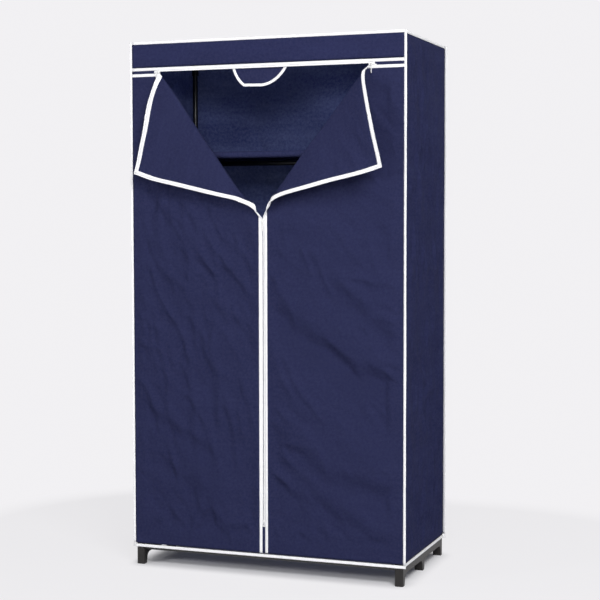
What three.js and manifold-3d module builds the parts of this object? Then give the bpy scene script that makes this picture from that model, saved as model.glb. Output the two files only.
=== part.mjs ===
// Portable fabric wardrobe: a zipped cloth cover over a frame of push-fit steel tubes.
// Millimetres, +Z up, the door faces -Y. The two door corners are folded open at rest.
import * as THREE from 'three';
import { mergeVertices } from 'three/addons/utils/BufferGeometryUtils.js';
import Module from 'manifold-3d';

const wasm = await Module();
wasm.setup();

// Driving sizes of the cover, measured on its outer faces
const coverWidth = 860;
const coverDepth = 450;
const topHeight = 1592;
const hemHeight = 56;
const clothThickness = 1.2;

// Gap that sewn or push-fitted neighbours keep, and how far a cut runs past a face
const seam = 0.3;
const overrun = 2;

// Bias binding: folded tape over every raw edge of the cloth
const bindingWidth = 10;
const bindingThickness = 2.4;
const finWidth = 9;
const topFinHeight = 8;

// Zip: two half tapes, each with a row of coil along its edge
const tapeWidth = 4.5;
const tapeThickness = 0.9;
const coilWidth = 2.2;
const coilThickness = 2.4;
const coilGap = 1.4;
const zipBottom = 150;
const bottomStopHeight = 3.7;

// Door: the upright zip's place across the front, and how far the top zips lie below the top
const doorCentre = -4;
const topZipDrop = 84;
const leftFoldReach = 339;
const rightFoldReach = 335;
const foldDrop = 443;
const foldRadius = 10;
const leftFlapTilt = THREE.MathUtils.degToRad(6);
const rightFlapTilt = THREE.MathUtils.degToRad(17);
const flapCrown = 5;
const flapEndSpare = 4;

// Guard tab that hangs behind the meeting point of the three zips
const tabWidth = 165;
const tabDrop = 52;
const tabOffset = -13.5;
const tabFlatShares = [0.21, 0.57];
const tabSetback = 5;
const tabBindingWidth = 8;
const tabRootHeight = 7;
const tabBendHeight = 4;

// Sliders and pulls
const sliderLength = 18;
const sliderWidth = 9.4;
const sliderNeckShare = 0.68;
const sliderPlate = 1.5;
const sliderChannel = 3.3;
const sliderPost = 0.8;
const sliderPostLength = 4;
const sliderPark = 9;
const topSliderPark = 2;
const bridgeLength = 11;
const bridgeRise = 5.2;
const bridgeBar = 1.6;
const pullLength = 28;
const pullWidth = 4.6;
const pullThickness = 1.6;
const pullEye = 1.5;
const pullEyeWall = 1.5;
const pullWindowWidth = 2.4;
const pullWindowLength = 5.8;
const pullBar = 1.6;

// Steel tubes and moulded push-fit connectors
const tubeRadius = 8;
const tubeWall = 0.8;
const tubeSides = 12;
const socketGap = 0.3;
const socketWall = 2.5;
const socketCollar = 0.6;
const socketCollarLength = 5;
const socketStop = 12;
const socketDepth = 30;
const socketSides = 12;
const tubeEndGap = 0.5;
const coverGap = 0.8;

// The shelf frame's drop below the top frame, and the hanging rail's below the shelf
const shelfDrop = 322.6;
const railDrop = 18.5;
const railSocketLength = 26;
const railSocketReach = 30;
const shelfClothThickness = 1.6;
const shelfSag = 7;
const shelfEndGap = 3;

// Moulded base rails, each with three feet
const railWidth = 25.5;
const railTop = 78;
const railSoffit = 34;
const railWall = 3;
const railCorner = 6;
const ribThickness = 3;
const ribPitch = 46;
const footDepth = 20;
const middleFootDepth = 17;
const footFlare = 13;
const bossHeight = 22;
const bottomTubeHeight = 53;
const bottomTubeGrip = 20;
const uprightSeat = 64.5;

// Soft bow of the hanging cloth and the pressed storage creases
const frontBow = 5;
const sideBow = 4;
const backBow = 3;
const topSag = 6;
const creaseDepth = 1.6;
const creaseWidth = 34;
const leftCreaseAt = -250;
const rightCreaseAt = 215;

// Places that follow from the sizes above
const halfWidth = coverWidth / 2;
const halfDepth = coverDepth / 2;
const halfCloth = clothThickness / 2;
const halfBinding = bindingThickness / 2;
const clothFront = -halfDepth + halfCloth;
const insideWidth = halfWidth - halfCloth - halfBinding - seam;
const insideDepth = halfDepth - halfCloth - halfBinding - seam;
const hemTop = hemHeight + bindingWidth;
const topZipHeight = topHeight - topZipDrop;
const foldFoot = topZipHeight - foldDrop;
const borderWidth = bindingWidth + tapeWidth;
const fasciaFoot = topZipHeight + coilGap / 2 + borderWidth;
const socketRadius = tubeRadius + socketGap + socketWall;
const collarRadius = socketRadius + socketCollar;
const boreRadius = tubeRadius + socketGap;
const frameInset = clothThickness + coverGap + collarRadius;
const uprightX = halfWidth - frameInset;
const uprightY = halfDepth - frameInset;
const topFrameHeight = topHeight - frameInset;
const shelfHeight = topFrameHeight - shelfDrop;
const railHeight = shelfHeight - railDrop;

// Finishes
const navyCloth = new THREE.MeshStandardMaterial({ color: 0x2f3156, roughness: 0.92 });
const whiteTape = new THREE.MeshStandardMaterial({ color: 0xe9e9ec, roughness: 0.8 });
const whiteEnamel = new THREE.MeshStandardMaterial({ color: 0xf0f0ee, roughness: 0.35 });
const blackTube = new THREE.MeshStandardMaterial({ color: 0x101112, roughness: 0.38, metalness: 0.4 });
const blackPlastic = new THREE.MeshStandardMaterial({ color: 0x161617, roughness: 0.55 });
const basePlastic = new THREE.MeshStandardMaterial({ color: 0x3b3836, roughness: 0.6 });

const wardrobe = new THREE.Group();

function add(name, geometry, material) {
  const mesh = new THREE.Mesh(geometry, material);
  mesh.name = name;
  wardrobe.add(mesh);
  return mesh;
}

// Solids that are joined and cut
function solidOf(geometry) {
  const bare = geometry.clone();
  bare.deleteAttribute('normal');
  bare.deleteAttribute('uv');
  const merged = mergeVertices(bare);
  return new wasm.Manifold(new wasm.Mesh({
    numProp: 3,
    vertProperties: new Float32Array(merged.attributes.position.array),
    triVerts: new Uint32Array(merged.index.array),
  }));
}

function geometryOf(solid) {
  const cut = solid.getMesh();
  const geometry = new THREE.BufferGeometry();
  geometry.setAttribute('position', new THREE.BufferAttribute(cut.vertProperties, cut.numProp));
  geometry.setIndex(new THREE.BufferAttribute(cut.triVerts, 1));
  geometry.computeVertexNormals();
  return geometry;
}

// Extrusions: a shape drawn in X-Y runs up Z, in Y-Z along X, and in X-Z along Y
const xAxis = new THREE.Vector3(1, 0, 0);
const yAxis = new THREE.Vector3(0, 1, 0);
const zAxis = new THREE.Vector3(0, 0, 1);
const outward = yAxis.clone().negate();
const drawnInYZ = new THREE.Matrix4().makeBasis(yAxis, zAxis, xAxis);
const drawnInXZ = new THREE.Matrix4().makeBasis(xAxis, zAxis, outward);

function extrude(shape, length, curveSegments = tubeSides / 2) {
  return new THREE.ExtrudeGeometry(shape, { depth: length, bevelEnabled: false, curveSegments });
}

function runUp(shape, low, high, curveSegments) {
  return extrude(shape, high - low, curveSegments).translate(0, 0, low);
}

function runAcross(shape, left, right, curveSegments) {
  return extrude(shape, right - left, curveSegments).applyMatrix4(drawnInYZ).translate(left, 0, 0);
}

function runBack(shape, front, back, curveSegments) {
  return extrude(shape, back - front, curveSegments).applyMatrix4(drawnInXZ).translate(0, back, 0);
}

function outline(points) {
  return new THREE.Shape(points.map(([x, y]) => new THREE.Vector2(x, y)));
}

function rectangle(x0, y0, x1, y1) {
  return outline([[x0, y0], [x1, y0], [x1, y1], [x0, y1]]);
}

function block(x0, y0, z0, x1, y1, z1) {
  return runUp(rectangle(x0, y0, x1, y1), z0, z1);
}

// Flat folded tape with a rounded fold on one long edge; drawn from its open edge
function foldedTape(width, thickness) {
  const half = thickness / 2;
  const shape = new THREE.Shape();
  shape.moveTo(0, -half);
  shape.lineTo(width - half, -half);
  shape.absarc(width - half, 0, half, -Math.PI / 2, Math.PI / 2, false);
  shape.lineTo(0, half);
  shape.closePath();
  return shape;
}

// Steel tubes
function tubeShape() {
  const shape = new THREE.Shape();
  shape.absarc(0, 0, tubeRadius, 0, 2 * Math.PI, false);
  const bore = new THREE.Path();
  bore.absarc(0, 0, tubeRadius - tubeWall, 0, 2 * Math.PI, true);
  shape.holes.push(bore);
  return shape;
}

function uprightTube(name, x, y, low, high) {
  add(name, runUp(tubeShape(), low, high).translate(x, y, 0), blackTube);
}

function crossTube(name, y, z, left, right) {
  add(name, runAcross(tubeShape(), left, right).translate(0, y, z), blackTube);
}

function depthTube(name, x, z, front, back) {
  add(name, runBack(tubeShape(), front, back).translate(x, 0, z), blackTube);
}

const tubeStop = socketStop + tubeEndGap;
const corners = [
  ['front_left', -1, -1],
  ['front_right', 1, -1],
  ['back_left', -1, 1],
  ['back_right', 1, 1],
];

for (const [corner, sideX, sideY] of corners) {
  const x = sideX * uprightX;
  const y = sideY * uprightY;
  uprightTube(`lower_upright_${corner}`, x, y, uprightSeat, shelfHeight - tubeStop);
  uprightTube(`upper_upright_${corner}`, x, y, shelfHeight + tubeStop, topFrameHeight - tubeStop);
}
for (const [level, height] of [['shelf', shelfHeight], ['top', topFrameHeight]]) {
  for (const [place, side] of [['front', -1], ['back', 1]]) {
    const end = uprightX - tubeStop;
    crossTube(`${level}_${place}_tube`, side * uprightY, height, -end, end);
  }
  for (const [place, side] of [['left', -1], ['right', 1]]) {
    const end = uprightY - tubeStop;
    depthTube(`${level}_${place}_tube`, side * uprightX, height, -end, end);
  }
}

// Moulded connectors: collared sockets that meet in a round core
function socketArm(direction) {
  const mouth = socketStop + socketDepth;
  const collarStart = mouth - socketCollarLength;
  const profile = [
    [0, 0],
    [socketRadius, 0],
    [socketRadius, collarStart],
    [collarRadius, collarStart + socketCollar],
    [collarRadius, mouth],
    [0, mouth],
  ].map(([radius, height]) => new THREE.Vector2(radius, height));
  const turn = new THREE.Quaternion().setFromUnitVectors(yAxis, direction);
  return solidOf(new THREE.LatheGeometry(profile, socketSides).applyQuaternion(turn));
}

function socketBore(direction) {
  const length = socketDepth + overrun;
  const bore = new THREE.CylinderGeometry(boreRadius, boreRadius, length, tubeSides);
  bore.translate(0, socketStop + length / 2, 0);
  const turn = new THREE.Quaternion().setFromUnitVectors(yAxis, direction);
  return solidOf(bore.applyQuaternion(turn));
}

function connector(name, x, y, z, directions) {
  let body = solidOf(new THREE.SphereGeometry(collarRadius, socketSides, tubeSides / 2));
  for (const direction of directions) body = body.add(socketArm(direction));
  for (const direction of directions) body = body.subtract(socketBore(direction));
  add(name, geometryOf(body).translate(x, y, z), blackPlastic);
}

for (const [corner, sideX, sideY] of corners) {
  const inX = xAxis.clone().multiplyScalar(-sideX);
  const inY = yAxis.clone().multiplyScalar(-sideY);
  const down = zAxis.clone().negate();
  const x = sideX * uprightX;
  const y = sideY * uprightY;
  connector(`shelf_connector_${corner}`, x, y, shelfHeight, [inX, inY, zAxis, down]);
  connector(`top_connector_${corner}`, x, y, topFrameHeight, [inX, inY, down]);
}

// Hanging rail in two moulded sockets that clip on the shelf frame's side tubes
const railEnd = uprightX - socketWall;

function railSocket(name, side) {
  const sleeve = new THREE.CylinderGeometry(socketRadius, socketRadius, railSocketLength, socketSides);
  const cupLength = railSocketReach + socketRadius;
  const cup = new THREE.CylinderGeometry(socketRadius, socketRadius, cupLength, socketSides);
  cup.rotateZ(Math.PI / 2).translate(socketRadius - cupLength / 2, 0, -railDrop);
  const sleeveBore = new THREE.CylinderGeometry(
    boreRadius, boreRadius, railSocketLength + overrun, tubeSides);
  const boreStart = railEnd + tubeEndGap - uprightX;
  const boreLength = railSocketReach + boreStart + overrun;
  const cupBore = new THREE.CylinderGeometry(boreRadius, boreRadius, boreLength, tubeSides);
  cupBore.rotateZ(Math.PI / 2).translate(boreStart - boreLength / 2, 0, -railDrop);
  const body = solidOf(sleeve).add(solidOf(cup)).subtract(solidOf(sleeveBore)).subtract(solidOf(cupBore));
  const geometry = geometryOf(body);
  if (side < 0) geometry.rotateZ(Math.PI);
  add(name, geometry.translate(side * uprightX, 0, shelfHeight), blackPlastic);
}

railSocket('rail_socket_left', -1);
railSocket('rail_socket_right', 1);
crossTube('hanging_rail', 0, railHeight, -railEnd, railEnd);

// Shelf cloth, sewn into a sleeve round the front tube and another round the back tube
function shelfShape() {
  const inner = tubeRadius + seam;
  const outer = inner + shelfClothThickness;
  const under = outer - shelfClothThickness;
  const join = Math.asin(under / outer);
  const reach = uprightY - outer * Math.cos(join);
  const turn = 2 * Math.PI;
  const shape = new THREE.Shape();
  shape.absarc(-uprightY, 0, outer, Math.PI / 2, turn + join, false);
  shape.quadraticCurveTo(0, under - 2 * shelfSag, reach, under);
  shape.absarc(uprightY, 0, outer, Math.PI - join, turn + Math.PI / 2, false);
  shape.quadraticCurveTo(0, outer - 2 * shelfSag, -uprightY, outer);
  for (const side of [-1, 1]) {
    const sleeve = new THREE.Path();
    sleeve.absarc(side * uprightY, 0, inner, 0, 2 * Math.PI, true);
    shape.holes.push(sleeve);
  }
  return shape;
}

const shelfReach = uprightX - socketStop - socketDepth - shelfEndGap;
const shelfSheet = runAcross(shelfShape(), -shelfReach, shelfReach);
add('shelf_sheet', shelfSheet.translate(0, 0, shelfHeight), navyCloth);

// Base rails: a ribbed moulding on three flared feet, with sockets for the uprights and cross tubes
const railOuter = insideWidth;

function railProfile() {
  const shape = new THREE.Shape();
  const footInner = insideDepth - footDepth;
  const middle = middleFootDepth / 2;
  const flare = footFlare;
  shape.moveTo(-insideDepth, 0);
  shape.lineTo(-footInner, 0);
  shape.lineTo(-footInner + flare / 4, railSoffit - flare);
  shape.quadraticCurveTo(-footInner + flare / 2, railSoffit, -footInner + 2 * flare, railSoffit);
  shape.lineTo(-middle - 2 * flare, railSoffit);
  shape.quadraticCurveTo(-middle - flare / 2, railSoffit, -middle - flare / 4, railSoffit - flare);
  shape.lineTo(-middle, 0);
  shape.lineTo(middle, 0);
  shape.lineTo(middle + flare / 4, railSoffit - flare);
  shape.quadraticCurveTo(middle + flare / 2, railSoffit, middle + 2 * flare, railSoffit);
  shape.lineTo(footInner - 2 * flare, railSoffit);
  shape.quadraticCurveTo(footInner - flare / 2, railSoffit, footInner - flare / 4, railSoffit - flare);
  shape.lineTo(footInner, 0);
  shape.lineTo(insideDepth, 0);
  shape.lineTo(insideDepth, railTop);
  shape.lineTo(-insideDepth, railTop);
  return shape;
}

function railPlan() {
  const shape = new THREE.Shape();
  const left = railOuter - railWidth;
  const corner = railCorner;
  shape.moveTo(left, corner - insideDepth);
  shape.absarc(left + corner, corner - insideDepth, corner, Math.PI, 1.5 * Math.PI, false);
  shape.absarc(railOuter - corner, corner - insideDepth, corner, 1.5 * Math.PI, 2 * Math.PI, false);
  shape.absarc(railOuter - corner, insideDepth - corner, corner, 0, Math.PI / 2, false);
  shape.absarc(left + corner, insideDepth - corner, corner, Math.PI / 2, Math.PI, false);
  return shape;
}

function baseRail(name, side) {
  const planSegments = tubeSides / 4;
  const height = railTop + bossHeight;
  const plan = solidOf(runUp(railPlan(), 0, height, planSegments));
  const profile = solidOf(runAcross(railProfile(), railOuter - railWidth, railOuter, planSegments));
  let body = profile.intersect(plan);
  for (const end of [-1, 1]) {
    const boss = new THREE.CylinderGeometry(socketRadius, socketRadius, height - railSoffit, socketSides);
    boss.rotateX(Math.PI / 2).translate(uprightX, end * uprightY, (height + railSoffit) / 2);
    body = body.add(solidOf(boss).intersect(plan));
  }
  // Open pockets below, with cross ribs between them
  const pocketEnd = insideDepth - footDepth - 2 * footFlare;
  const pocketStart = middleFootDepth / 2 + 2 * footFlare;
  const pocketRun = pocketEnd - pocketStart;
  const pockets = Math.max(1, Math.round(pocketRun / ribPitch));
  const pitch = (pocketRun + ribThickness) / pockets;
  for (const end of [-1, 1]) {
    for (let i = 0; i < pockets; i += 1) {
      const near = pocketStart + i * pitch;
      const far = near + pitch - ribThickness;
      body = body.subtract(solidOf(block(
        railOuter - railWidth + railWall, Math.min(end * near, end * far), railSoffit - overrun,
        railOuter - railWall, Math.max(end * near, end * far), railTop - railWall)));
    }
  }
  for (const end of [-1, 1]) {
    const well = new THREE.CylinderGeometry(
      boreRadius, boreRadius, height - uprightSeat + tubeEndGap + overrun, tubeSides);
    well.rotateX(Math.PI / 2);
    well.translate(uprightX, end * uprightY, (height + uprightSeat - tubeEndGap + overrun) / 2);
    body = body.subtract(solidOf(well));
    const bore = new THREE.CylinderGeometry(boreRadius, boreRadius, bottomTubeGrip + overrun, tubeSides);
    bore.rotateZ(Math.PI / 2);
    const boreMiddle = railOuter - railWidth + (bottomTubeGrip - overrun) / 2;
    bore.translate(boreMiddle, end * uprightY, bottomTubeHeight);
    body = body.subtract(solidOf(bore));
  }
  const geometry = geometryOf(body);
  if (side < 0) geometry.rotateZ(Math.PI);
  add(name, geometry, basePlastic);
}

baseRail('base_rail_left', -1);
baseRail('base_rail_right', 1);
const bottomTubeEnd = railOuter - railWidth + bottomTubeGrip - tubeEndGap;
crossTube('bottom_front_tube', -uprightY, bottomTubeHeight, -bottomTubeEnd, bottomTubeEnd);
crossTube('bottom_back_tube', uprightY, bottomTubeHeight, -bottomTubeEnd, bottomTubeEnd);

// Cloth: a closed sheet over a grid of shares; place gives its middle surface, half its thickness
const slopeStepShare = 1e-4;

function clothSolid(columnShares, rowShares, place, half) {
  const positions = [];
  const columns = columnShares.length;
  const rows = rowShares.length;
  for (const side of [1, -1]) {
    for (const row of rowShares) {
      for (const column of columnShares) {
        const stepColumn = column > 0.5 ? -slopeStepShare : slopeStepShare;
        const stepRow = row > 0.5 ? -slopeStepShare : slopeStepShare;
        const middle = place(column, row);
        const alongColumn = place(column + stepColumn, row).sub(middle);
        alongColumn.multiplyScalar(Math.sign(stepColumn));
        const alongRow = place(column, row + stepRow).sub(middle).multiplyScalar(Math.sign(stepRow));
        const lift = alongColumn.cross(alongRow).normalize().multiplyScalar(side * half(column, row));
        positions.push(...middle.add(lift).toArray());
      }
    }
  }
  const layer = rows * columns;
  const index = [];
  const quad = (a, b, c, d) => index.push(a, b, c, a, c, d);
  for (let r = 0; r < rows - 1; r += 1) {
    for (let c = 0; c < columns - 1; c += 1) {
      const a = r * columns + c;
      quad(a, a + 1, a + columns + 1, a + columns);
      quad(layer + a, layer + a + columns, layer + a + columns + 1, layer + a + 1);
    }
  }
  const rim = [];
  for (let c = 0; c < columns - 1; c += 1) rim.push(c);
  for (let r = 0; r < rows - 1; r += 1) rim.push(r * columns + columns - 1);
  for (let c = columns - 1; c > 0; c -= 1) rim.push((rows - 1) * columns + c);
  for (let r = rows - 1; r > 0; r -= 1) rim.push(r * columns);
  rim.forEach((a, i) => {
    const b = rim[(i + 1) % rim.length];
    quad(layer + a, layer + b, b, a);
  });
  const geometry = new THREE.BufferGeometry();
  geometry.setAttribute('position', new THREE.Float32BufferAttribute(positions, 3));
  geometry.setIndex(index);
  geometry.computeVertexNormals();
  return geometry;
}

function evenShares(count) {
  return Array.from({ length: count + 1 }, (_, i) => i / count);
}

function hump(share) {
  return Math.sin(Math.PI * THREE.MathUtils.clamp(share, 0, 1));
}

const plainHalf = () => halfCloth;

function crease(x, at) {
  return -creaseDepth * Math.exp(-(((x - at) / creaseWidth) ** 2));
}

// Side, back and top panels
function sidePanel(name, side) {
  const reach = insideDepth;
  const place = (across, up) => {
    const y = THREE.MathUtils.lerp(-reach, reach, across);
    const z = THREE.MathUtils.lerp(hemTop + seam, topHeight, up);
    const bow = sideBow * hump(across) * hump(up) + crease(y, 0) * hump(up) * hump(across);
    return new THREE.Vector3(side * (halfWidth - halfCloth + bow), side * y, z);
  };
  add(name, clothSolid(evenShares(8), evenShares(12), place, plainHalf), navyCloth);
}

sidePanel('left_side_panel', -1);
sidePanel('right_side_panel', 1);

function backPlace(across, up) {
  const x = THREE.MathUtils.lerp(halfWidth, -halfWidth, across);
  const z = THREE.MathUtils.lerp(hemTop + seam, topHeight, up);
  return new THREE.Vector3(x, halfDepth - halfCloth + backBow * hump(across) * hump(up), z);
}

add('back_panel', clothSolid(evenShares(8), evenShares(8), backPlace, plainHalf), navyCloth);

function topPlace(across, back) {
  const reachX = halfWidth - clothThickness - seam;
  const reachY = insideDepth;
  const x = THREE.MathUtils.lerp(-reachX, reachX, across);
  const y = THREE.MathUtils.lerp(-reachY, reachY, back);
  const flatShare = 0.12;
  const sagAcross = hump((across - flatShare) / (1 - 2 * flatShare));
  const sagBack = hump((back - flatShare) / (1 - 2 * flatShare));
  const sag = topSag * sagAcross * sagBack;
  return new THREE.Vector3(x, y, topHeight - halfCloth - sag);
}

add('top_panel', clothSolid(evenShares(10), evenShares(6), topPlace, plainHalf), navyCloth);

// Fascia: the fixed strip over the door
function fasciaPlace(across, up) {
  const x = THREE.MathUtils.lerp(-halfWidth, halfWidth, across);
  const z = THREE.MathUtils.lerp(fasciaFoot + seam, topHeight, up);
  return new THREE.Vector3(x, clothFront, z);
}

add('fascia', clothSolid(evenShares(8), evenShares(2), fasciaPlace, plainHalf), navyCloth);

// One door half: the fold line runs from the top zip down to the upright zip.
// Along the fold is "along", across it towards the opening is "over", and away from the cloth is "out".
function doorHalf(side, foldReach, tilt) {
  const zipEdge = topZipHeight - coilGap / 2;
  const meeting = doorCentre + (side * coilGap) / 2;
  const head = new THREE.Vector3(doorCentre + side * foldReach, clothFront, zipEdge);
  const foot = new THREE.Vector3(meeting, clothFront, foldFoot);
  const corner = new THREE.Vector3(meeting, clothFront, zipEdge);
  const along = foot.clone().sub(head).normalize();
  const length = head.distanceTo(foot);
  const toCorner = corner.clone().sub(head);
  const cornerAlong = toCorner.dot(along);
  const over = toCorner.clone().addScaledVector(along, -cornerAlong).normalize();
  const cornerOver = toCorner.dot(over);
  const rollLength = (Math.PI - tilt) * foldRadius;
  const topSlope = cornerOver / cornerAlong;
  const edgeSlope = cornerOver / (length - cornerAlong);
  const topBorder = borderWidth * Math.hypot(1, topSlope);
  const edgeBorder = borderWidth * Math.hypot(1, edgeSlope);
  const start = (rollLength + topBorder + flapEndSpare) / topSlope;
  const end = length - (rollLength + edgeBorder + flapEndSpare) / edgeSlope;
  const at = (a, o, w) => head.clone()
    .addScaledVector(along, a).addScaledVector(over, o).addScaledVector(outward, w);
  const hingeOver = rollLength / 2;
  const hingeOut = foldRadius - hingeOver * Math.tan(tilt / 2);
  return {
    side, tilt, head, foot, along, over, length, cornerAlong, cornerOver, rollLength,
    topSlope, edgeSlope, topBorder, edgeBorder, start, end, at,
    hinge: at(length / 2, hingeOver, hingeOut),
  };
}

const leftDoor = doorHalf(-1, leftFoldReach, leftFlapTilt);
const rightDoor = doorHalf(1, rightFoldReach, rightFlapTilt);

// A point of the roll at an angle round its centre, measured from straight over the fold
function rollPoint(radius, angle) {
  return [radius * Math.cos(angle), foldRadius + radius * Math.sin(angle)];
}

// Front panels: flat cloth with a soft bow, and the first half of the roll along the diagonal fold
function panelRoll(door) {
  const inner = foldRadius - halfCloth;
  const outer = foldRadius + halfCloth;
  const last = -door.tilt / 2;
  const shape = new THREE.Shape();
  shape.moveTo(-overrun, foldRadius - outer);
  shape.lineTo(0, foldRadius - outer);
  shape.absarc(0, foldRadius, outer, -Math.PI / 2, last, false);
  shape.lineTo(...rollPoint(inner, last));
  shape.absarc(0, foldRadius, inner, last, -Math.PI / 2, true);
  shape.lineTo(-overrun, foldRadius - inner);
  const run = extrude(shape, door.end - door.start, 6);
  const turn = new THREE.Matrix4().makeBasis(door.over, outward, door.over.clone().cross(outward));
  run.applyMatrix4(turn);
  const startsAt = door.over.clone().cross(outward).dot(door.along) > 0 ? door.start : door.end;
  const origin = door.at(startsAt, 0, 0);
  return run.translate(origin.x, origin.y, origin.z);
}

function frontPanel(name, door, creaseAt) {
  const { side, head } = door;
  const low = hemTop + seam;
  const high = fasciaFoot - bindingWidth - seam;
  const outerEdge = side * halfWidth;
  const innerEdge = doorCentre + side * (borderWidth + coilGap / 2 + seam);
  const slope = (head.z - foldFoot) / (head.x - door.foot.x);
  const kink = foldFoot + slope * (innerEdge - door.foot.x);
  const place = (across, up) => {
    const z = THREE.MathUtils.lerp(low, high, up);
    let edge = innerEdge;
    if (z > kink) edge = door.foot.x + (Math.min(z, head.z) - foldFoot) / slope;
    const x = THREE.MathUtils.lerp(outerEdge, edge, across);
    const bow = frontBow * hump(across) * hump(up) + crease(x, creaseAt) * hump(across) * hump(up);
    return new THREE.Vector3(x, clothFront - bow, z);
  };
  const kinkShare = (kink - low) / (high - low);
  const headShare = (head.z - low) / (high - low);
  const rowShares = [
    ...evenShares(9).map((share) => share * kinkShare),
    ...evenShares(5).slice(1).map((share) => THREE.MathUtils.lerp(kinkShare, headShare, share)),
    1,
  ];
  const sheet = clothSolid(evenShares(8), rowShares, place, plainHalf);
  const notchTop = high + overrun;
  const notchReach = Math.abs(head.x - doorCentre) + topSliderPark + sliderLength / 2 + seam;
  const notchOuter = doorCentre + side * notchReach;
  const notchInner = doorCentre;
  const notchFoot = topZipHeight - coilGap / 2 - tapeWidth;
  const notch = block(
    Math.min(notchOuter, notchInner), clothFront - frontBow - overrun, notchFoot,
    Math.max(notchOuter, notchInner), clothFront + overrun, notchTop);
  const body = solidOf(sheet).add(solidOf(panelRoll(door))).subtract(solidOf(notch));
  add(name, geometryOf(body), navyCloth);
}

frontPanel('front_left_panel', leftDoor, leftCreaseAt);
frontPanel('front_right_panel', rightDoor, rightCreaseAt);

// Flaps: the second half of the roll, then the loose corner with its bound zip edge
function flap(name, door) {
  const { tilt, rollLength, start, end, cornerAlong, length, topSlope, edgeSlope } = door;
  const rollStart = rollLength / 2 + seam;
  const rollColumns = 4;
  const sheetColumns = 5;
  const borderColumns = 2;
  const columns = rollColumns + sheetColumns + borderColumns;
  const rollShare = rollColumns / columns;
  const sheetShare = (rollColumns + sheetColumns) / columns;
  const place = (across, down) => {
    const a = THREE.MathUtils.lerp(start, end, down);
    const rim = Math.min(topSlope * a, edgeSlope * (length - a));
    const bound = Math.min(topSlope * a - door.topBorder, edgeSlope * (length - a) - door.edgeBorder);
    let v = 0;
    if (across <= rollShare) {
      v = THREE.MathUtils.lerp(rollStart, rollLength, across / rollShare);
      const [o, w] = rollPoint(foldRadius, v / foldRadius - Math.PI / 2);
      return door.at(a, o, w);
    }
    if (across <= sheetShare) {
      v = THREE.MathUtils.lerp(rollLength, bound, (across - rollShare) / (sheetShare - rollShare));
    } else {
      v = THREE.MathUtils.lerp(bound, rim, (across - sheetShare) / (1 - sheetShare));
    }
    const beyond = v - rollLength;
    const crown = flapCrown * hump(beyond / (rim - rollLength)) * hump(down);
    const [o, w] = rollPoint(foldRadius, Math.PI / 2 - tilt);
    return door.at(a,
      o - beyond * Math.cos(tilt) + crown * Math.sin(tilt),
      w + beyond * Math.sin(tilt) + crown * Math.cos(tilt));
  };
  const half = (across) => (across > sheetShare ? bindingThickness / 2 : halfCloth);
  const columnShares = [];
  for (let c = 0; c <= columns; c += 1) columnShares.push(c / columns);
  const step = 0.25 / columns;
  columnShares.splice(columns - 1, 0, sheetShare + step);
  const cornerShare = (cornerAlong - start) / (end - start);
  const rowShares = [
    ...evenShares(6).map((share) => share * cornerShare),
    ...evenShares(8).slice(1).map((share) => THREE.MathUtils.lerp(cornerShare, 1, share)),
  ];
  add(name, clothSolid(columnShares, rowShares, place, half), navyCloth);
}

flap('left_flap', leftDoor);
flap('right_flap', rightDoor);

// Corner, top and hem bindings
for (const [corner, sideX, sideY] of corners) {
  const fin = foldedTape(finWidth - seam, bindingThickness);
  const strip = runUp(fin, hemTop + seam, topHeight + topFinHeight);
  if (sideX < 0) strip.rotateZ(Math.PI);
  strip.translate(sideX * (halfWidth + seam), sideY * (halfDepth - halfCloth), 0);
  add(`${corner}_binding`, strip, whiteTape);
}

function ringShape(outerX, outerY, wall) {
  const shape = rectangle(-outerX, -outerY, outerX, outerY);
  const hole = rectangle(wall - outerX, wall - outerY, outerX - wall, outerY - wall);
  shape.holes.push(new THREE.Path(hole.getPoints().reverse()));
  return shape;
}

const ringY = halfDepth - halfCloth + halfBinding;
const topRing = ringShape(halfWidth, ringY, bindingThickness);
add('top_binding', runUp(topRing, topHeight + seam, topHeight + topFinHeight), whiteTape);

// The hem runs out to the edges of the corner bindings, front and back
const hemRing = ringShape(halfWidth - halfCloth + halfBinding, ringY, bindingThickness);
let hem = solidOf(runUp(hemRing, hemHeight, hemTop));
for (const side of [-1, 1]) {
  const near = side * ringY;
  const far = side * (ringY - bindingThickness);
  hem = hem.add(solidOf(block(
    -halfWidth - finWidth, Math.min(near, far), hemHeight,
    halfWidth + finWidth, Math.max(near, far), hemTop)));
}
add('hem_binding', geometryOf(hem), whiteTape);

// Zip edges: a binding that carries half a zip tape with its row of coil
function zipEdgeShape() {
  const half = tapeThickness / 2;
  const near = coilGap / 2;
  return outline([
    [near + coilWidth - overrun / 2, -half],
    [borderWidth - bindingWidth + overrun, -half],
    [borderWidth - bindingWidth + overrun, half],
    [near + coilWidth - overrun / 2, half],
  ]);
}

function coilShape() {
  const centre = coilGap / 2 + coilWidth / 2;
  const shape = new THREE.Shape();
  shape.absellipse(centre, 0, coilWidth / 2, coilThickness / 2, 0, 2 * Math.PI, false);
  return shape;
}

function zipBindingShape() {
  const half = bindingThickness / 2;
  const near = borderWidth - bindingWidth + coilGap / 2;
  return rectangle(near, -half, near + bindingWidth, half);
}

// The upper half of the top zips is sewn to the fascia
const zipOuterLeft = leftDoor.head.x - topSliderPark - sliderLength / 2;
const zipOuterRight = rightDoor.head.x + topSliderPark + sliderLength / 2;

function turned(shape) {
  return new THREE.Shape(shape.getPoints(6).map((p) => new THREE.Vector2(p.y, p.x)).reverse());
}

const fasciaBinding = solidOf(runAcross(turned(zipBindingShape()), -halfWidth, halfWidth));
const fasciaTape = solidOf(runAcross(turned(zipEdgeShape()), zipOuterLeft, zipOuterRight));
const fasciaCoil = solidOf(runAcross(turned(coilShape()), zipOuterLeft, zipOuterRight));
const fasciaZip = geometryOf(fasciaBinding.add(fasciaTape).add(fasciaCoil));
add('fascia_zip_edge', fasciaZip.translate(0, clothFront, topZipHeight), whiteTape);

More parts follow.
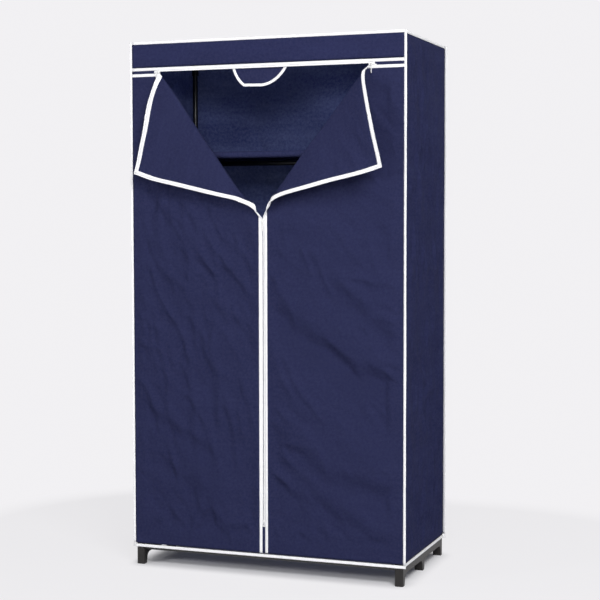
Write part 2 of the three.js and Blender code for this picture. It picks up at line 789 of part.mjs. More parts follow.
// The door's top binding runs on to the corners past the folds
function endBinding(name, door) {
  const outer = door.side * halfWidth;
  const inner = door.head.x + door.side * overrun;
  const strip = rectangle(
    clothFront - halfCloth - seam - halfBinding, topZipHeight - coilGap / 2 - borderWidth,
    clothFront - halfCloth - seam, topZipHeight - coilGap / 2 - tapeWidth - seam);
  add(name, runAcross(strip, Math.min(outer, inner), Math.max(outer, inner)), whiteTape);
}

endBinding('door_top_binding_left', leftDoor);
endBinding('door_top_binding_right', rightDoor);

// The upright zip below the folds
function uprightZipEdge(name, side) {
  const binding = solidOf(runUp(zipBindingShape(), hemTop + seam, foldFoot));
  const tape = solidOf(runUp(zipEdgeShape(), zipBottom, foldFoot));
  const coil = solidOf(runUp(coilShape(), zipBottom, foldFoot, 6));
  const geometry = geometryOf(binding.add(tape).add(coil));
  if (side < 0) geometry.rotateZ(Math.PI);
  add(name, geometry.translate(doorCentre, clothFront, 0), whiteTape);
}

uprightZipEdge('left_zip_edge', -1);
uprightZipEdge('right_zip_edge', 1);

const stopHalf = tapeWidth - seam;
add('zip_bottom_stop', block(
  doorCentre - stopHalf, clothFront - coilThickness / 2, zipBottom - seam - bottomStopHeight,
  doorCentre + stopHalf, clothFront + coilThickness / 2, zipBottom - seam), whiteEnamel);

// Sliders: two shield-shaped plates, a thin post between the coils and a bridge for the pull.
// Drawn upright, with the zip along Z, the leading end up and the front towards -Y.
function shieldShape() {
  const halfLength = sliderLength / 2;
  const wide = sliderWidth / 2;
  const narrow = wide * sliderNeckShare;
  const shape = new THREE.Shape();
  shape.moveTo(-narrow, -halfLength);
  shape.lineTo(narrow, -halfLength);
  shape.quadraticCurveTo(narrow, 0, wide, halfLength / 2);
  shape.quadraticCurveTo(wide, halfLength, 0, halfLength);
  shape.quadraticCurveTo(-wide, halfLength, -wide, halfLength / 2);
  shape.quadraticCurveTo(-narrow, 0, -narrow, -halfLength);
  return shape;
}

function bridgeShape() {
  const half = bridgeLength / 2;
  const foot = sliderChannel / 2 + sliderPlate - bridgeBar / 2;
  const outer = new THREE.Shape();
  outer.moveTo(-half, foot);
  outer.quadraticCurveTo(-half, foot + bridgeRise, 0, foot + bridgeRise);
  outer.quadraticCurveTo(half, foot + bridgeRise, half, foot);
  const under = foot + bridgeRise - bridgeBar;
  outer.lineTo(half - bridgeBar, foot);
  outer.quadraticCurveTo(half - bridgeBar, under, 0, under);
  outer.quadraticCurveTo(bridgeBar - half, under, bridgeBar - half, foot);
  return outer;
}

function sliderSolid() {
  const gap = sliderChannel / 2;
  const front = solidOf(runBack(shieldShape(), -gap - sliderPlate, -gap, 4));
  const back = solidOf(runBack(shieldShape(), gap, gap + sliderPlate, 4));
  const postTop = sliderLength / 2 - sliderPost;
  const post = solidOf(block(
    -sliderPost / 2, -gap - sliderPlate / 2, postTop - sliderPostLength,
    sliderPost / 2, gap + sliderPlate / 2, postTop));
  const lean = new THREE.Matrix4().makeBasis(zAxis, outward, xAxis.clone());
  const bridge = extrude(bridgeShape(), bridgeBar, 4).translate(0, 0, -bridgeBar / 2).applyMatrix4(lean);
  return front.add(back).add(post).add(solidOf(bridge));
}

const plateFace = sliderChannel / 2 + sliderPlate;
const crownOut = plateFace - bridgeBar + bridgeRise;

// Pull of the upright zip: its top bar turns under the bridge, which stands in its window
function windowPull() {
  const half = pullWidth / 2;
  const tail = half * sliderNeckShare;
  const shape = new THREE.Shape();
  shape.moveTo(-half, -pullBar - pullWindowLength);
  shape.lineTo(-tail, tail - pullLength);
  shape.absarc(0, tail - pullLength, tail, Math.PI, 2 * Math.PI, false);
  shape.lineTo(half, -pullBar - pullWindowLength);
  shape.lineTo(half, 0);
  shape.absarc(half - pullBar / 2, 0, pullBar / 2, 0, Math.PI / 2, false);
  shape.absarc(pullBar / 2 - half, 0, pullBar / 2, Math.PI / 2, Math.PI, false);
  const side = pullWindowWidth / 2;
  const window = rectangle(-side, -pullBar / 2 - pullWindowLength, side, -pullBar / 2);
  shape.holes.push(new THREE.Path(window.getPoints().reverse()));
  return shape;
}

// Pull of a top zip: a round eye that hangs on the bridge's crown
function eyePull() {
  const ring = pullEye + pullEyeWall;
  const tail = (pullWidth / 2) * sliderNeckShare;
  const shape = new THREE.Shape();
  shape.moveTo(-ring, 0);
  shape.lineTo(-tail, tail - pullLength);
  shape.absarc(0, tail - pullLength, tail, Math.PI, 2 * Math.PI, false);
  shape.lineTo(ring, 0);
  shape.absarc(0, 0, ring, 0, Math.PI, false);
  const eye = new THREE.Path();
  eye.absarc(0, 0, pullEye, 0, 2 * Math.PI, true);
  shape.holes.push(eye);
  return shape;
}

const centreParked = foldFoot - sliderPark;
const centreSlider = geometryOf(sliderSolid());
add('centre_slider', centreSlider.translate(doorCentre, clothFront, centreParked), whiteEnamel);

const barOut = (plateFace + crownOut - bridgeBar / 2) / 2;
const centrePull = runBack(windowPull(), -pullThickness / 2, pullThickness / 2, 4);
add('centre_pull', centrePull.translate(doorCentre, clothFront - barOut, centreParked), whiteEnamel);

function topSlider(place, door) {
  const x = door.head.x + door.side * topSliderPark;
  const slider = geometryOf(sliderSolid()).rotateY((-door.side * Math.PI) / 2);
  add(`${place}_top_slider`, slider.translate(x, clothFront, topZipHeight), whiteEnamel);
  const pull = runAcross(eyePull(), -pullThickness / 2, pullThickness / 2, 4);
  add(`${place}_top_pull`, pull.translate(x, clothFront - crownOut, topZipHeight), whiteEnamel);
}

topSlider('left', leftDoor);
topSlider('right', rightDoor);

// Guard tab: cloth with a bound edge, stepped back from the zip below its sewn root
const tabTop = fasciaFoot - bindingWidth + seam;

function tabShape(inset) {
  const left = doorCentre + tabOffset - tabWidth / 2 + inset;
  const right = doorCentre + tabOffset + tabWidth / 2 - inset;
  const width = right - left;
  const foot = topZipHeight - tabDrop + inset;
  const [flatStart, flatEnd] = tabFlatShares.map((share) => left + share * width);
  const shape = new THREE.Shape();
  shape.moveTo(left, tabTop);
  shape.quadraticCurveTo(left + (flatStart - left) / 4, foot + (tabTop - foot) / 3, flatStart, foot);
  shape.lineTo(flatEnd, foot);
  shape.quadraticCurveTo(flatEnd + (right - flatEnd) / 2, foot, right, tabTop);
  return shape;
}

function tabRoot() {
  const rootBack = clothFront + halfBinding + seam;
  const sheetFront = clothFront + tabSetback - halfCloth;
  const bend = tabTop + tabBendHeight;
  const top = tabTop + tabBendHeight + tabRootHeight;
  return outline([
    [rootBack, top], [rootBack, bend], [sheetFront, tabTop], [sheetFront, tabTop - clothThickness],
    [sheetFront + clothThickness, tabTop - clothThickness], [sheetFront + clothThickness, tabTop],
    [rootBack + clothThickness, bend], [rootBack + clothThickness, top],
  ]);
}

const tabMiddle = clothFront + tabSetback;
const tabSheet = solidOf(runBack(tabShape(0), tabMiddle - halfCloth, tabMiddle + halfCloth, 6));
const tabRim = solidOf(runBack(tabShape(0), tabMiddle - halfBinding, tabMiddle + halfBinding, 6));
const tabInner = solidOf(runBack(
  tabShape(tabBindingWidth), tabMiddle - bindingThickness, tabMiddle + bindingThickness, 6));
const tabLeft = doorCentre + tabOffset - tabWidth / 2;
const tabStrip = solidOf(runAcross(tabRoot(), tabLeft, tabLeft + tabWidth));
add('centre_tab', geometryOf(tabRim.subtract(tabInner).add(tabSheet).add(tabStrip)), navyCloth);

// The wardrobe stands on the floor, with its middle over the origin, folded corners counted
const reach = new THREE.Box3().setFromObject(wardrobe);
wardrobe.position.y = -(reach.min.y + reach.max.y) / 2;

export default wardrobe;
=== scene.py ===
import math
import bmesh
import bpy
from mathutils import Matrix, Quaternion, Vector, noise


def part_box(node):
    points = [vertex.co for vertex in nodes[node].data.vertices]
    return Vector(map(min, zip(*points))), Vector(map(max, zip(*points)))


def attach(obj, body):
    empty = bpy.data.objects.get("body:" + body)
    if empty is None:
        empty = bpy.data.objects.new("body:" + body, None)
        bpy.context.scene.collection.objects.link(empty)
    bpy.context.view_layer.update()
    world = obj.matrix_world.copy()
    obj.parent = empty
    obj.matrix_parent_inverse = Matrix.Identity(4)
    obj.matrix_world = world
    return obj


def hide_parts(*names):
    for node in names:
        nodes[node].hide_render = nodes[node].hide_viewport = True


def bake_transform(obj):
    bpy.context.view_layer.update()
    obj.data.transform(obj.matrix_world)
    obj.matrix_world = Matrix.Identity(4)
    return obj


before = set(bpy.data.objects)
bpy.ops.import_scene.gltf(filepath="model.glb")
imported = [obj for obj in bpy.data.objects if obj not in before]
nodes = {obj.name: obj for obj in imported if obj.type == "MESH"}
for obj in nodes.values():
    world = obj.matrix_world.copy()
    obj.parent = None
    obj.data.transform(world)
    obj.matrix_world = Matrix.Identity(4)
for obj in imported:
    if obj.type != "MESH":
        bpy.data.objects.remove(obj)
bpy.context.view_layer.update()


def new_object(name, data):
    made = bpy.data.objects.new(name, data)
    bpy.context.scene.collection.objects.link(made)
    return made


# Camera: a standing eye far back and to the right of the door, so that the right side shows.
# The long lens keeps the uprights parallel; the middle of the wardrobe is a little right of the
# frame's centre.
wardrobe_middle_y = 0.0434
view_azimuth = math.radians(20.643)
view_elevation = math.radians(3.420)
view_roll = math.radians(-0.117)
view_distance = 4.5773
camera_data = bpy.data.cameras.new("camera")
camera_data.sensor_width = 36
camera_data.lens = 88.43
camera_data.shift_x = 0.01497
camera_data.shift_y = 0.00707
camera = new_object("camera", camera_data)
bpy.context.scene.camera = camera
towards_eye = Vector((
    math.sin(view_azimuth) * math.cos(view_elevation),
    -math.cos(view_azimuth) * math.cos(view_elevation),
    math.sin(view_elevation)))
camera.rotation_mode = "QUATERNION"
camera.rotation_quaternion = (-towards_eye).to_track_quat("-Z", "Y") @ Quaternion((0, 0, 1), view_roll)
camera.location = Vector((0, wardrobe_middle_y, 0.8)) + towards_eye * view_distance

# Helpers for the materials' nodes and for pieces.


def sock(node, name):
    return node.inputs[name]


def new_material(name, colour, roughness):
    material = bpy.data.materials.new(name)
    material.use_nodes = True
    shader = material.node_tree.nodes["Principled BSDF"]
    sock(shader, "Base Color").default_value = (*colour, 1)
    sock(shader, "Roughness").default_value = roughness
    return material, shader


def wire(material, source, target):
    material.node_tree.links.new(source, target)


def join_up(material, kind, **values):
    """A node with its inputs set: a plain value is written on the socket, a socket is linked to it.
    An input is named, or numbered as in _0, and settings holds the node's own properties."""
    node = material.node_tree.nodes.new("ShaderNode" + kind)
    for name, value in values.items():
        if name == "settings":
            for key, setting in value.items():
                setattr(node, key, setting)
            continue
        socket = node.inputs[int(name[1:])] if name[0] == "_" else node.inputs[name.replace("_", " ")]
        if isinstance(value, bpy.types.NodeSocket):
            wire(material, value, socket)
        else:
            socket.default_value = value
    return node


def reckon(material, operation, *values):
    """A Math node on sockets or numbers, and its result."""
    node = join_up(material, "Math", settings={"operation": operation},
                   **{f"_{i}": value for i, value in enumerate(values)})
    return node.outputs[0]


def away_from(material, value, middle):
    """How far a socket's value is from a number."""
    return reckon(material, "ABSOLUTE", reckon(material, "SUBTRACT", value, middle))


def weighted_sum(material, *parts):
    """The sum of sockets, each times its weight."""
    terms = [reckon(material, "MULTIPLY", socket, weight) for socket, weight in parts]
    total = terms[0]
    for term in terms[1:]:
        total = reckon(material, "ADD", total, term)
    return total


def remap(material, value, **limits):
    """A Map Range node on a socket, and its result."""
    return join_up(material, "MapRange", Value=value, **limits).outputs[0]


def add_bump(material, shader, height, distance, strength):
    bump = join_up(material, "Bump", Height=height, Distance=distance, Strength=strength)
    wire(material, bump.outputs["Normal"], sock(shader, "Normal"))


def mix_colours(material, factor, dark, light):
    """Two colours mixed by a factor socket. The node's colour inputs are its numbers 6 and 7."""
    return join_up(material, "Mix", settings={"data_type": "RGBA"}, Factor=factor,
                   _6=(*dark, 1), _7=(*light, 1)).outputs[2]


def tint(material, shader, factor, dark, light):
    wire(material, mix_colours(material, factor, dark, light), sock(shader, "Base Color"))


def grain(material, place, scale, detail=4.0, roughness=0.6):
    return join_up(material, "TexNoise", Vector=place, Scale=scale, Detail=detail,
                   Roughness=roughness).outputs["Fac"]


def object_place(material):
    return join_up(material, "TexCoord").outputs["Object"]


def moulded_plastic(name, dark, light, roughness):
    """Moulded polypropylene: fine spark-eroded grain, and a few soft flow marks."""
    material, shader = new_material(name, light, roughness)
    place = object_place(material)
    fine = grain(material, place, 1400, 2)
    broad = grain(material, place, 22, 5)
    tint(material, shader, remap(material, broad, From_Min=0.35, From_Max=0.7), dark, light)
    rough = remap(material, broad, To_Min=roughness - 0.06, To_Max=roughness + 0.08)
    wire(material, rough, sock(shader, "Roughness"))
    sock(shader, "Specular IOR Level").default_value = 0.35
    add_bump(material, shader, fine, 0.00012, 0.5)
    return material


def dress(piece, material):
    piece.data.materials.clear()
    piece.data.materials.append(material)


def new_mesh(name, bm):
    """Turns the bmesh into a mesh."""
    mesh = bpy.data.meshes.new(name)
    bm.to_mesh(mesh)
    bm.free()
    return mesh


def place_piece(name, bm, material, body="frame_and_cover"):
    """Makes the bmesh a piece at the origin, riding on a body unless that is None."""
    piece = new_object(name, new_mesh(name, bm))
    dress(piece, material)
    for face in piece.data.polygons:
        face.use_smooth = True
    if body:
        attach(piece, body)
    return piece


def bevel_edges(bm, edges, width, segments, clamp=False):
    bmesh.ops.bevel(bm, geom=edges, offset=width, offset_type="OFFSET", segments=segments, profile=0.5,
                    affect="EDGES", clamp_overlap=clamp, material=-1)


def round_edges(node, width, material, body="frame_and_cover"):
    """A copy of a moulded or cast CAD piece with its sharp edges rounded."""
    sharp = math.radians(32)
    bm = bmesh.new()
    bm.from_mesh(nodes[node].data)
    bmesh.ops.remove_doubles(bm, verts=bm.verts[:], dist=1e-6)
    bmesh.ops.dissolve_limit(bm, angle_limit=math.radians(1), verts=bm.verts[:], edges=bm.edges[:])
    edges = [e for e in bm.edges if len(e.link_faces) == 2 and e.calc_face_angle(0) > sharp]
    bevel_edges(bm, edges, width, 2, True)
    piece = place_piece(node + "_moulded", bm, material, body)
    crisp = piece.modifiers.new("flat_faces", "WEIGHTED_NORMAL")
    crisp.keep_sharp = False
    crisp.weight = 80
    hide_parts(node)
    return piece


# Base rails: one grey-brown moulding under each side, on three flared feet, ribbed inside.
# The edges of the mould are slightly rounded and the skin has the fine grain of polypropylene.
base_plastic = moulded_plastic("base_plastic", (0.0105, 0.0092, 0.0092), (0.0190, 0.0168, 0.0166), 0.46)
for side in ("left", "right"):
    round_edges(f"base_rail_{side}", 0.0022, base_plastic)

# Frame tubes: thin 16 mm steel tube, powder coated satin black, cut square with the burr turned in.
# They push into the mouldings and show through the open door and just under the hem.
tube_radius = 0.008
tube_wall = 0.0008


def powder_coat():
    material, shader = new_material("black_powder_coat", (0.006, 0.0062, 0.0068), 0.36)
    place = object_place(material)
    peel = grain(material, place, 900, 2)
    handled = grain(material, place, 40, 6)
    wire(material, remap(material, handled, To_Min=0.3, To_Max=0.46), sock(shader, "Roughness"))
    sock(shader, "Coat Weight").default_value = 0.2
    sock(shader, "Coat Roughness").default_value = 0.25
    add_bump(material, shader, peel, 0.00008, 0.5)
    return material


def stand_along(bm, start, direction):
    """Turns a bmesh's +Z to a direction and moves its origin to the start."""
    turn = Vector((0, 0, 1)).rotation_difference(Vector(direction)).to_matrix().to_4x4()
    bmesh.ops.transform(bm, matrix=Matrix.Translation(start) @ turn, verts=bm.verts[:])


lathe_sides = 32


def lathe(profile, start, direction):
    """Spins a profile of (radius, distance) points round a line from start along direction."""
    bm = bmesh.new()
    verts = [bm.verts.new((radius, 0, height)) for radius, height in profile]
    edges = [bm.edges.new((a, b)) for a, b in zip(verts, verts[1:])]
    if profile[0][0] > 0 and profile[-1][0] > 0:
        edges.append(bm.edges.new((verts[-1], verts[0])))
    bmesh.ops.spin(bm, geom=verts + edges, axis=(0, 0, 1), cent=(0, 0, 0), steps=lathe_sides,
                   angle=2 * math.pi, use_merge=True)
    bmesh.ops.remove_doubles(bm, verts=bm.verts[:], dist=1e-6)
    bmesh.ops.recalc_face_normals(bm, faces=bm.faces[:])
    stand_along(bm, start, direction)
    return bm


def crisp_edges(piece):
    """Keeps the sharp edges crisp, and the rest smooth."""
    sharp = math.radians(35)
    bm = bmesh.new()
    bm.from_mesh(piece.data)
    for edge in bm.edges:
        if len(edge.link_faces) == 2:
            edge.smooth = edge.calc_face_angle(0) < sharp
    bm.to_mesh(piece.data)
    bm.free()


black_tube = powder_coat()
tube_nodes = [n for n in nodes if "upright" in n or n.endswith("_tube") or n == "hanging_rail"]
for node in sorted(tube_nodes):
    low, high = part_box(node)
    middle = (low + high) / 2
    reach = high - low
    axis = max(range(3), key=lambda i: reach[i])
    direction = Vector((0, 0, 0))
    direction[axis] = 1
    start = middle.copy()
    start[axis] = low[axis]
    length = reach[axis]
    lip = 0.0004
    profile = [
        (tube_radius, lip), (tube_radius, length - lip), (tube_radius - lip, length),
        (tube_radius - tube_wall, length), (tube_radius - tube_wall, 0), (tube_radius - lip, 0)]
    tube = place_piece(node + "_drawn", lathe(profile, start, direction), black_tube)
    crisp_edges(tube)
    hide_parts(node)

# Connectors: black push-fit mouldings at the shelf's and the top's corners. Each is a round core
# with three or four sockets; a collar stiffens each mouth and two ribs run along each socket.
socket_bore = 0.0083
socket_outer = 0.0108
collar_outer = 0.0114
socket_floor = 0.012
socket_mouth = 0.042
collar_start = 0.037
rib_start = 0.009


def add_mesh(target, source):
    """Moves everything of one bmesh into another."""
    carrier = new_mesh("carrier", source)
    target.from_mesh(carrier)
    bpy.data.meshes.remove(carrier)


def bevelled_bar(size, width):
    bar = bmesh.new()
    bmesh.ops.create_cube(bar, size=1)
    bmesh.ops.scale(bar, vec=size, verts=bar.verts[:])
    bevel_edges(bar, bar.edges[:], width, 1)
    return bar


def socket_arm(centre, direction):
    lip = 0.0005
    profile = [
        (0, socket_floor), (socket_bore, socket_floor), (socket_bore, socket_mouth - lip),
        (socket_bore + lip, socket_mouth), (collar_outer - lip, socket_mouth),
        (collar_outer, socket_mouth - lip), (collar_outer, collar_start + lip),
        (socket_outer, collar_start), (socket_outer, 0), (0, 0)]
    arm = lathe(profile, centre, direction)
    way = Vector(direction)
    across = way.orthogonal().normalized()
    for side in (-1, 1):
        rib = bevelled_bar((0.0012, 0.0016, collar_start - rib_start), 0.0003)
        spot = Vector(centre) + way * (collar_start + rib_start) / 2 + across * side * socket_outer
        stand_along(rib, spot, direction)
        add_mesh(arm, rib)
    return arm


black_plastic = moulded_plastic("black_plastic", (0.0065, 0.0065, 0.007), (0.012, 0.012, 0.0125), 0.48)
upright_places = {}
for corner in ("front_left", "front_right", "back_left", "back_right"):
    low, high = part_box(f"lower_upright_{corner}")
    upright_places[corner] = ((low.x + high.x) / 2, (low.y + high.y) / 2)
shelf_low, shelf_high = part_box("shelf_front_tube")
top_low, top_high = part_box("top_front_tube")
frame_heights = {"shelf": (shelf_low.z + shelf_high.z) / 2, "top": (top_low.z + top_high.z) / 2}
for level, height in frame_heights.items():
    for corner, (x, y) in upright_places.items():
        back = 1 if corner.startswith("front") else -1
        across = -1 if x > 0 else 1
        directions = [(across, 0, 0), (0, back, 0), (0, 0, -1)]
        if level == "shelf":
            directions.append((0, 0, 1))
        moulding = bmesh.new()
        bmesh.ops.create_uvsphere(moulding, u_segments=32, v_segments=16, radius=collar_outer,
                                  matrix=Matrix.Translation((x, y, height)))
        for direction in directions:
            add_mesh(moulding, socket_arm((x, y, height), direction))
        piece = place_piece(f"{level}_connector_{corner}_moulded", moulding, black_plastic)
        crisp_edges(piece)
        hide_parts(f"{level}_connector_{corner}")

# Hanging rail sockets: a sleeve threaded on each side tube, with a cup below it for the rail's end.
for side, turn in (("left", 1), ("right", -1)):
    low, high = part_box(f"rail_socket_{side}")
    rail_low, rail_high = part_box("hanging_rail")
    x = upright_places[f"front_{side}"][0]
    middle_y = (low.y + high.y) / 2
    long = high.y - low.y
    lip = 0.0005
    ring = [
        (socket_bore, 0), (socket_outer - lip, 0), (socket_outer, lip), (socket_outer, long - lip),
        (socket_outer - lip, long), (socket_bore, long)]
    moulding = lathe(ring, (x, low.y, frame_heights["shelf"]), (0, 1, 0))
    reach = high.x - low.x
    floor_at = 0.0035
    cup = [
        (0, floor_at), (socket_bore, floor_at), (socket_bore, reach - lip), (socket_bore + lip, reach),
        (socket_outer - lip, reach), (socket_outer, reach - lip), (socket_outer, lip),
        (socket_outer - lip, 0), (0, 0)]
    rail_height = (rail_low.z + rail_high.z) / 2
    start_x = low.x if turn > 0 else high.x
    add_mesh(moulding, lathe(cup, (start_x, middle_y, rail_height), (turn, 0, 0)))
    piece = place_piece(f"rail_socket_{side}_moulded", moulding, black_plastic)
    crisp_edges(piece)
    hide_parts(f"rail_socket_{side}")

# Shelf: one strip of cover cloth across the wardrobe, turned round the front and the back shelf
# tubes and stitched to itself as two sleeves. Between the tubes it sags a little.
cloth_thickness = 0.0012
facing_thickness = 0.0006
show_through = 0.17
glow_dark = (0.24, 0.30, 0.60)
glow_light = (0.66, 0.74, 1.0)
press_pitch = 0.0016


def wobble(x, y, z):
    """Smooth noise at a place."""
    return noise.noise(Vector((x, y, z)))


def streaks(material, cut, turn, scale):
    """Noise that is drawn out along one way of the cloth."""
    place = join_up(material, "Mapping", Vector=cut, Rotation=(0, 0, turn), Scale=(*scale, 1))
    return grain(material, place.outputs[0], 1, 3)


def spun_bonded(name, dark, light, mottle):
    """Non-woven polypropylene: pressed dimples a millimetre apart, laid fibres, and soft blotches. It is
    thin, so light from behind shows through it, more where the web is thin. The pattern follows the cut
    cloth by its UV map, which is in metres."""
    material, shader = new_material(name, light, 0.85)
    cut = join_up(material, "TexCoord").outputs["UV"]
    one_way = streaks(material, cut, 0.9, (60, 520))
    other_way = streaks(material, cut, -0.6, (75, 600))
    fibres = reckon(material, "MULTIPLY", reckon(material, "ADD", one_way, other_way), 0.5)
    blotch = grain(material, cut, 110, 6, 0.75)
    cloud = streaks(material, cut, 0, (3, 13))
    fine = grain(material, cut, 360, 2)
    mixed = weighted_sum(material, (blotch, 0.14), (fibres, 0.34), (fine, 0.42), (cloud, 0.10))
    web = weighted_sum(material, (blotch, 0.6), (cloud, 0.4))
    contrast = 0.16 / mottle
    spread = remap(material, web if mottle > 1 else mixed, From_Min=0.5 - contrast, From_Max=0.5 + contrast)
    tint(material, shader, spread, dark, light)
    split = join_up(material, "SeparateXYZ", Vector=cut)
    press = 2 * math.pi / press_pitch
    across = reckon(material, "SINE", reckon(material, "MULTIPLY", split.outputs[0], press))
    along = reckon(material, "SINE", reckon(material, "MULTIPLY", split.outputs[1], press))
    dimples = reckon(material, "MULTIPLY", across, along)
    relief = weighted_sum(material, (dimples, 0.25), (mixed, 1.6))
    for crease_scale, crease_height in ((34, 13.0), (90, 4.0)):
        crease = away_from(material, grain(material, cut, crease_scale, 2), 0.5)
        relief = reckon(material, "SUBTRACT", relief, reckon(material, "MULTIPLY", crease, crease_height))
    sock(shader, "Specular IOR Level").default_value = 0.06
    add_bump(material, shader, relief, 0.0003, 0.55)
    thin = remap(material, web, From_Min=0.38, From_Max=0.62)
    behind = join_up(material, "BsdfTranslucent", Color=mix_colours(material, thin, glow_dark, glow_light))
    both = join_up(material, "MixShader", _0=show_through, _1=shader.outputs[0], _2=behind.outputs[0])
    wire(material, both.outputs[0], material.node_tree.nodes["Material Output"].inputs["Surface"])
    return material


def cut_cloth(outline, step, folds=(), faces=None):
    """Lays the flat cut, divides it every step and along the folds, and keeps the cut as its UV map."""
    bm = bmesh.new()
    corners = [bm.verts.new((u, v, 0)) for u, v in outline]
    for face in faces or [range(len(corners))]:
        bm.faces.new([corners[i] for i in face])
    cuts = [(Vector((u, v, 0)), Vector((nu, nv, 0))) for (u, v), (nu, nv) in folds]
    for axis in (0, 1):
        low = min(point[axis] for point in outline)
        high = max(point[axis] for point in outline)
        count = max(1, round((high - low) / step[axis]))
        normal = Vector((1 - axis, axis, 0))
        cuts += [(normal * (low + (high - low) * i / count), normal) for i in range(1, count)]
    for spot, normal in cuts:
        bmesh.ops.bisect_plane(bm, geom=bm.verts[:] + bm.edges[:] + bm.faces[:], dist=1e-6,
                               plane_co=spot, plane_no=normal)
    bmesh.ops.triangulate(bm, faces=[f for f in bm.faces if len(f.verts) > 4])
    uv = bm.loops.layers.uv.new("cut")
    for face in bm.faces:
        for loop in face.loops:
            loop[uv].uv = loop.vert.co.xy
    return bm


def hang_cloth(name, bm, place, thickness, materials, body="frame_and_cover"):
    """Takes the flat cut to its place in space, and gives it its thickness."""
    for vert in bm.verts:
        vert.co = place(*vert.co.xy)
    piece = place_piece(name, bm, materials[0], body)
    for extra in materials[1:]:
        piece.data.materials.append(extra)
    wall = piece.modifiers.new("thickness", "SOLIDIFY")
    wall.thickness = thickness
    wall.offset = 0
    if len(materials) > 1:
        wall.material_offset = 1
    return piece


def swell(share):
    return math.sin(math.pi * min(1, max(0, share)))


def ramp(value, start, end):
    share = min(1, max(0, (value - start) / (end - start)))
    return share * share * (3 - 2 * share)


def drag_folds(u, v, seed, slant, height):
    """Folds of hanging cloth: broad hollows, drag lines that run along a slant, and crumpled creases
    with narrow crests."""
    bent_u = u + 0.025 * wobble(u * 5, v * 5, seed + 1.3)
    bent_v = v + 0.025 * wobble(u * 5, v * 5, seed + 8.9)
    along = bent_u * math.cos(slant) + bent_v * math.sin(slant)
    across = bent_v * math.cos(slant) - bent_u * math.sin(slant)
    broad = wobble(u * 3.1, v * 2.0, seed)
    line = wobble(along * 3.2, across * 11, seed + 3.7)
    small = wobble(along * 9, across * 27, seed + 9.2)
    crests = 0
    for coarse, share in ((1, 0.40), (2.1, 0.24), (4.2, 0.12)):
        spot = (along * 4.6 * coarse, across * 12 * coarse, seed + 5.1 * coarse)
        crests += share * max(0, 1 - abs(wobble(*spot)) * 2.6) ** 2
    calm = 0.55 + 0.9 * wobble(u * 4.2, v * 3.3, seed + 15.5)
    lively = min(1, max(0.2, calm))
    return height * (0.26 * broad + 0.30 * line + 0.13 * small + lively * (crests - 0.3))


def soft_between(value, low, high, bend=0.0012):
    """Holds a value between two limits, and eases it in towards them."""
    if value > high - bend:
        over = min(2 * bend, value - high + bend)
        return high - bend + over - over * over / (4 * bend)
    if value < low + bend:
        under = min(2 * bend, low + bend - value)
        return low + bend - under + under * under / (4 * bend)
    return value


def from_line(u, v, points):
    """The distance over a line of points, which runs from left to right, and the distance to its ends."""
    best, run = None, 0
    whole = sum(math.dist(a, b) for a, b in zip(points, points[1:]))
    for (u0, v0), (u1, v1) in zip(points, points[1:]):
        du, dv = u1 - u0, v1 - v0
        size = math.hypot(du, dv)
        share = ((u - u0) * du + (v - v0) * dv) / (size * size)
        held = min(1, max(0, share))
        gap = math.hypot(u - u0 - held * du, v - v0 - held * dv)
        if best is None or gap < best[0]:
            over = ((v - v0) * du - (u - u0) * dv) / size
            at = run + share * size
            best = (gap, math.copysign(gap, over), min(at, whole - at))
        run += size
    return best[1], best[2]


def named_folds(u, v, folds):
    """Single folds by their own lines: a ledge stands out over its line and falls in below it, and a
    crest stands out along it. Each is its kind, height, width, fade at the ends, and its points."""
    total = 0
    for kind, height, width, fade, points in folds:
        if not points[0][0] - 0.12 < u < points[-1][0] + 0.12 and kind == "ledge":
            continue
        over, to_end = from_line(u, v, points)
        if abs(over) > 6 * width or to_end < -fade:
            continue
        there = ramp(to_end, -fade, fade)
        if kind == "ledge":
            total += height * there * math.tanh(over / width) * math.exp(-(over / (3 * width)) ** 2)
        else:
            total += height * there * max(0, 1 - abs(over) / (2 * width)) ** 2
    return total


navy_outside = spun_bonded("navy_cloth_outside", (0.0195, 0.0225, 0.0635), (0.0300, 0.0335, 0.0910), 0.9)
# The inner faces get a much lighter copy of the same cloth, blotched by its web: painted light that stands in
# for the light falling in through the open door onto the inner walls.
navy_inside_painted_light = spun_bonded("navy_cloth_inside_painted_light", (0.046, 0.058, 0.180), (0.138, 0.172, 0.400), 1.1)

sheet_low, sheet_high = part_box("shelf_sheet")
back_low, back_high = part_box("shelf_back_tube")
front_bar = ((shelf_low.y + shelf_high.y) / 2, frame_heights["shelf"])
back_bar = ((back_low.y + back_high.y) / 2, frame_heights["shelf"])
sleeve_radius = tube_radius + 0.0011
sleeve_tail = 0.034
shelf_sag = 0.007
shelf_span = back_bar[0] - front_bar[0]
half_turn = math.pi * sleeve_radius
shelf_cut = 2 * sleeve_tail + 2 * half_turn + shelf_span


def tail_place(u, y, tail):
    """The sleeve's tail under the shelf, which rises to the cloth above it along its length."""
    top = front_bar[1] + sleeve_radius - shelf_sag * swell((y - front_bar[0]) / shelf_span)
    down = 2 * sleeve_radius * (1 - 0.86 * ramp(tail, 0.004, 0.026))
    return Vector((u, y, top - down))


def round_bar(u, bar, turn):
    return Vector((u, bar[0] + sleeve_radius * math.cos(turn), bar[1] + sleeve_radius * math.sin(turn)))


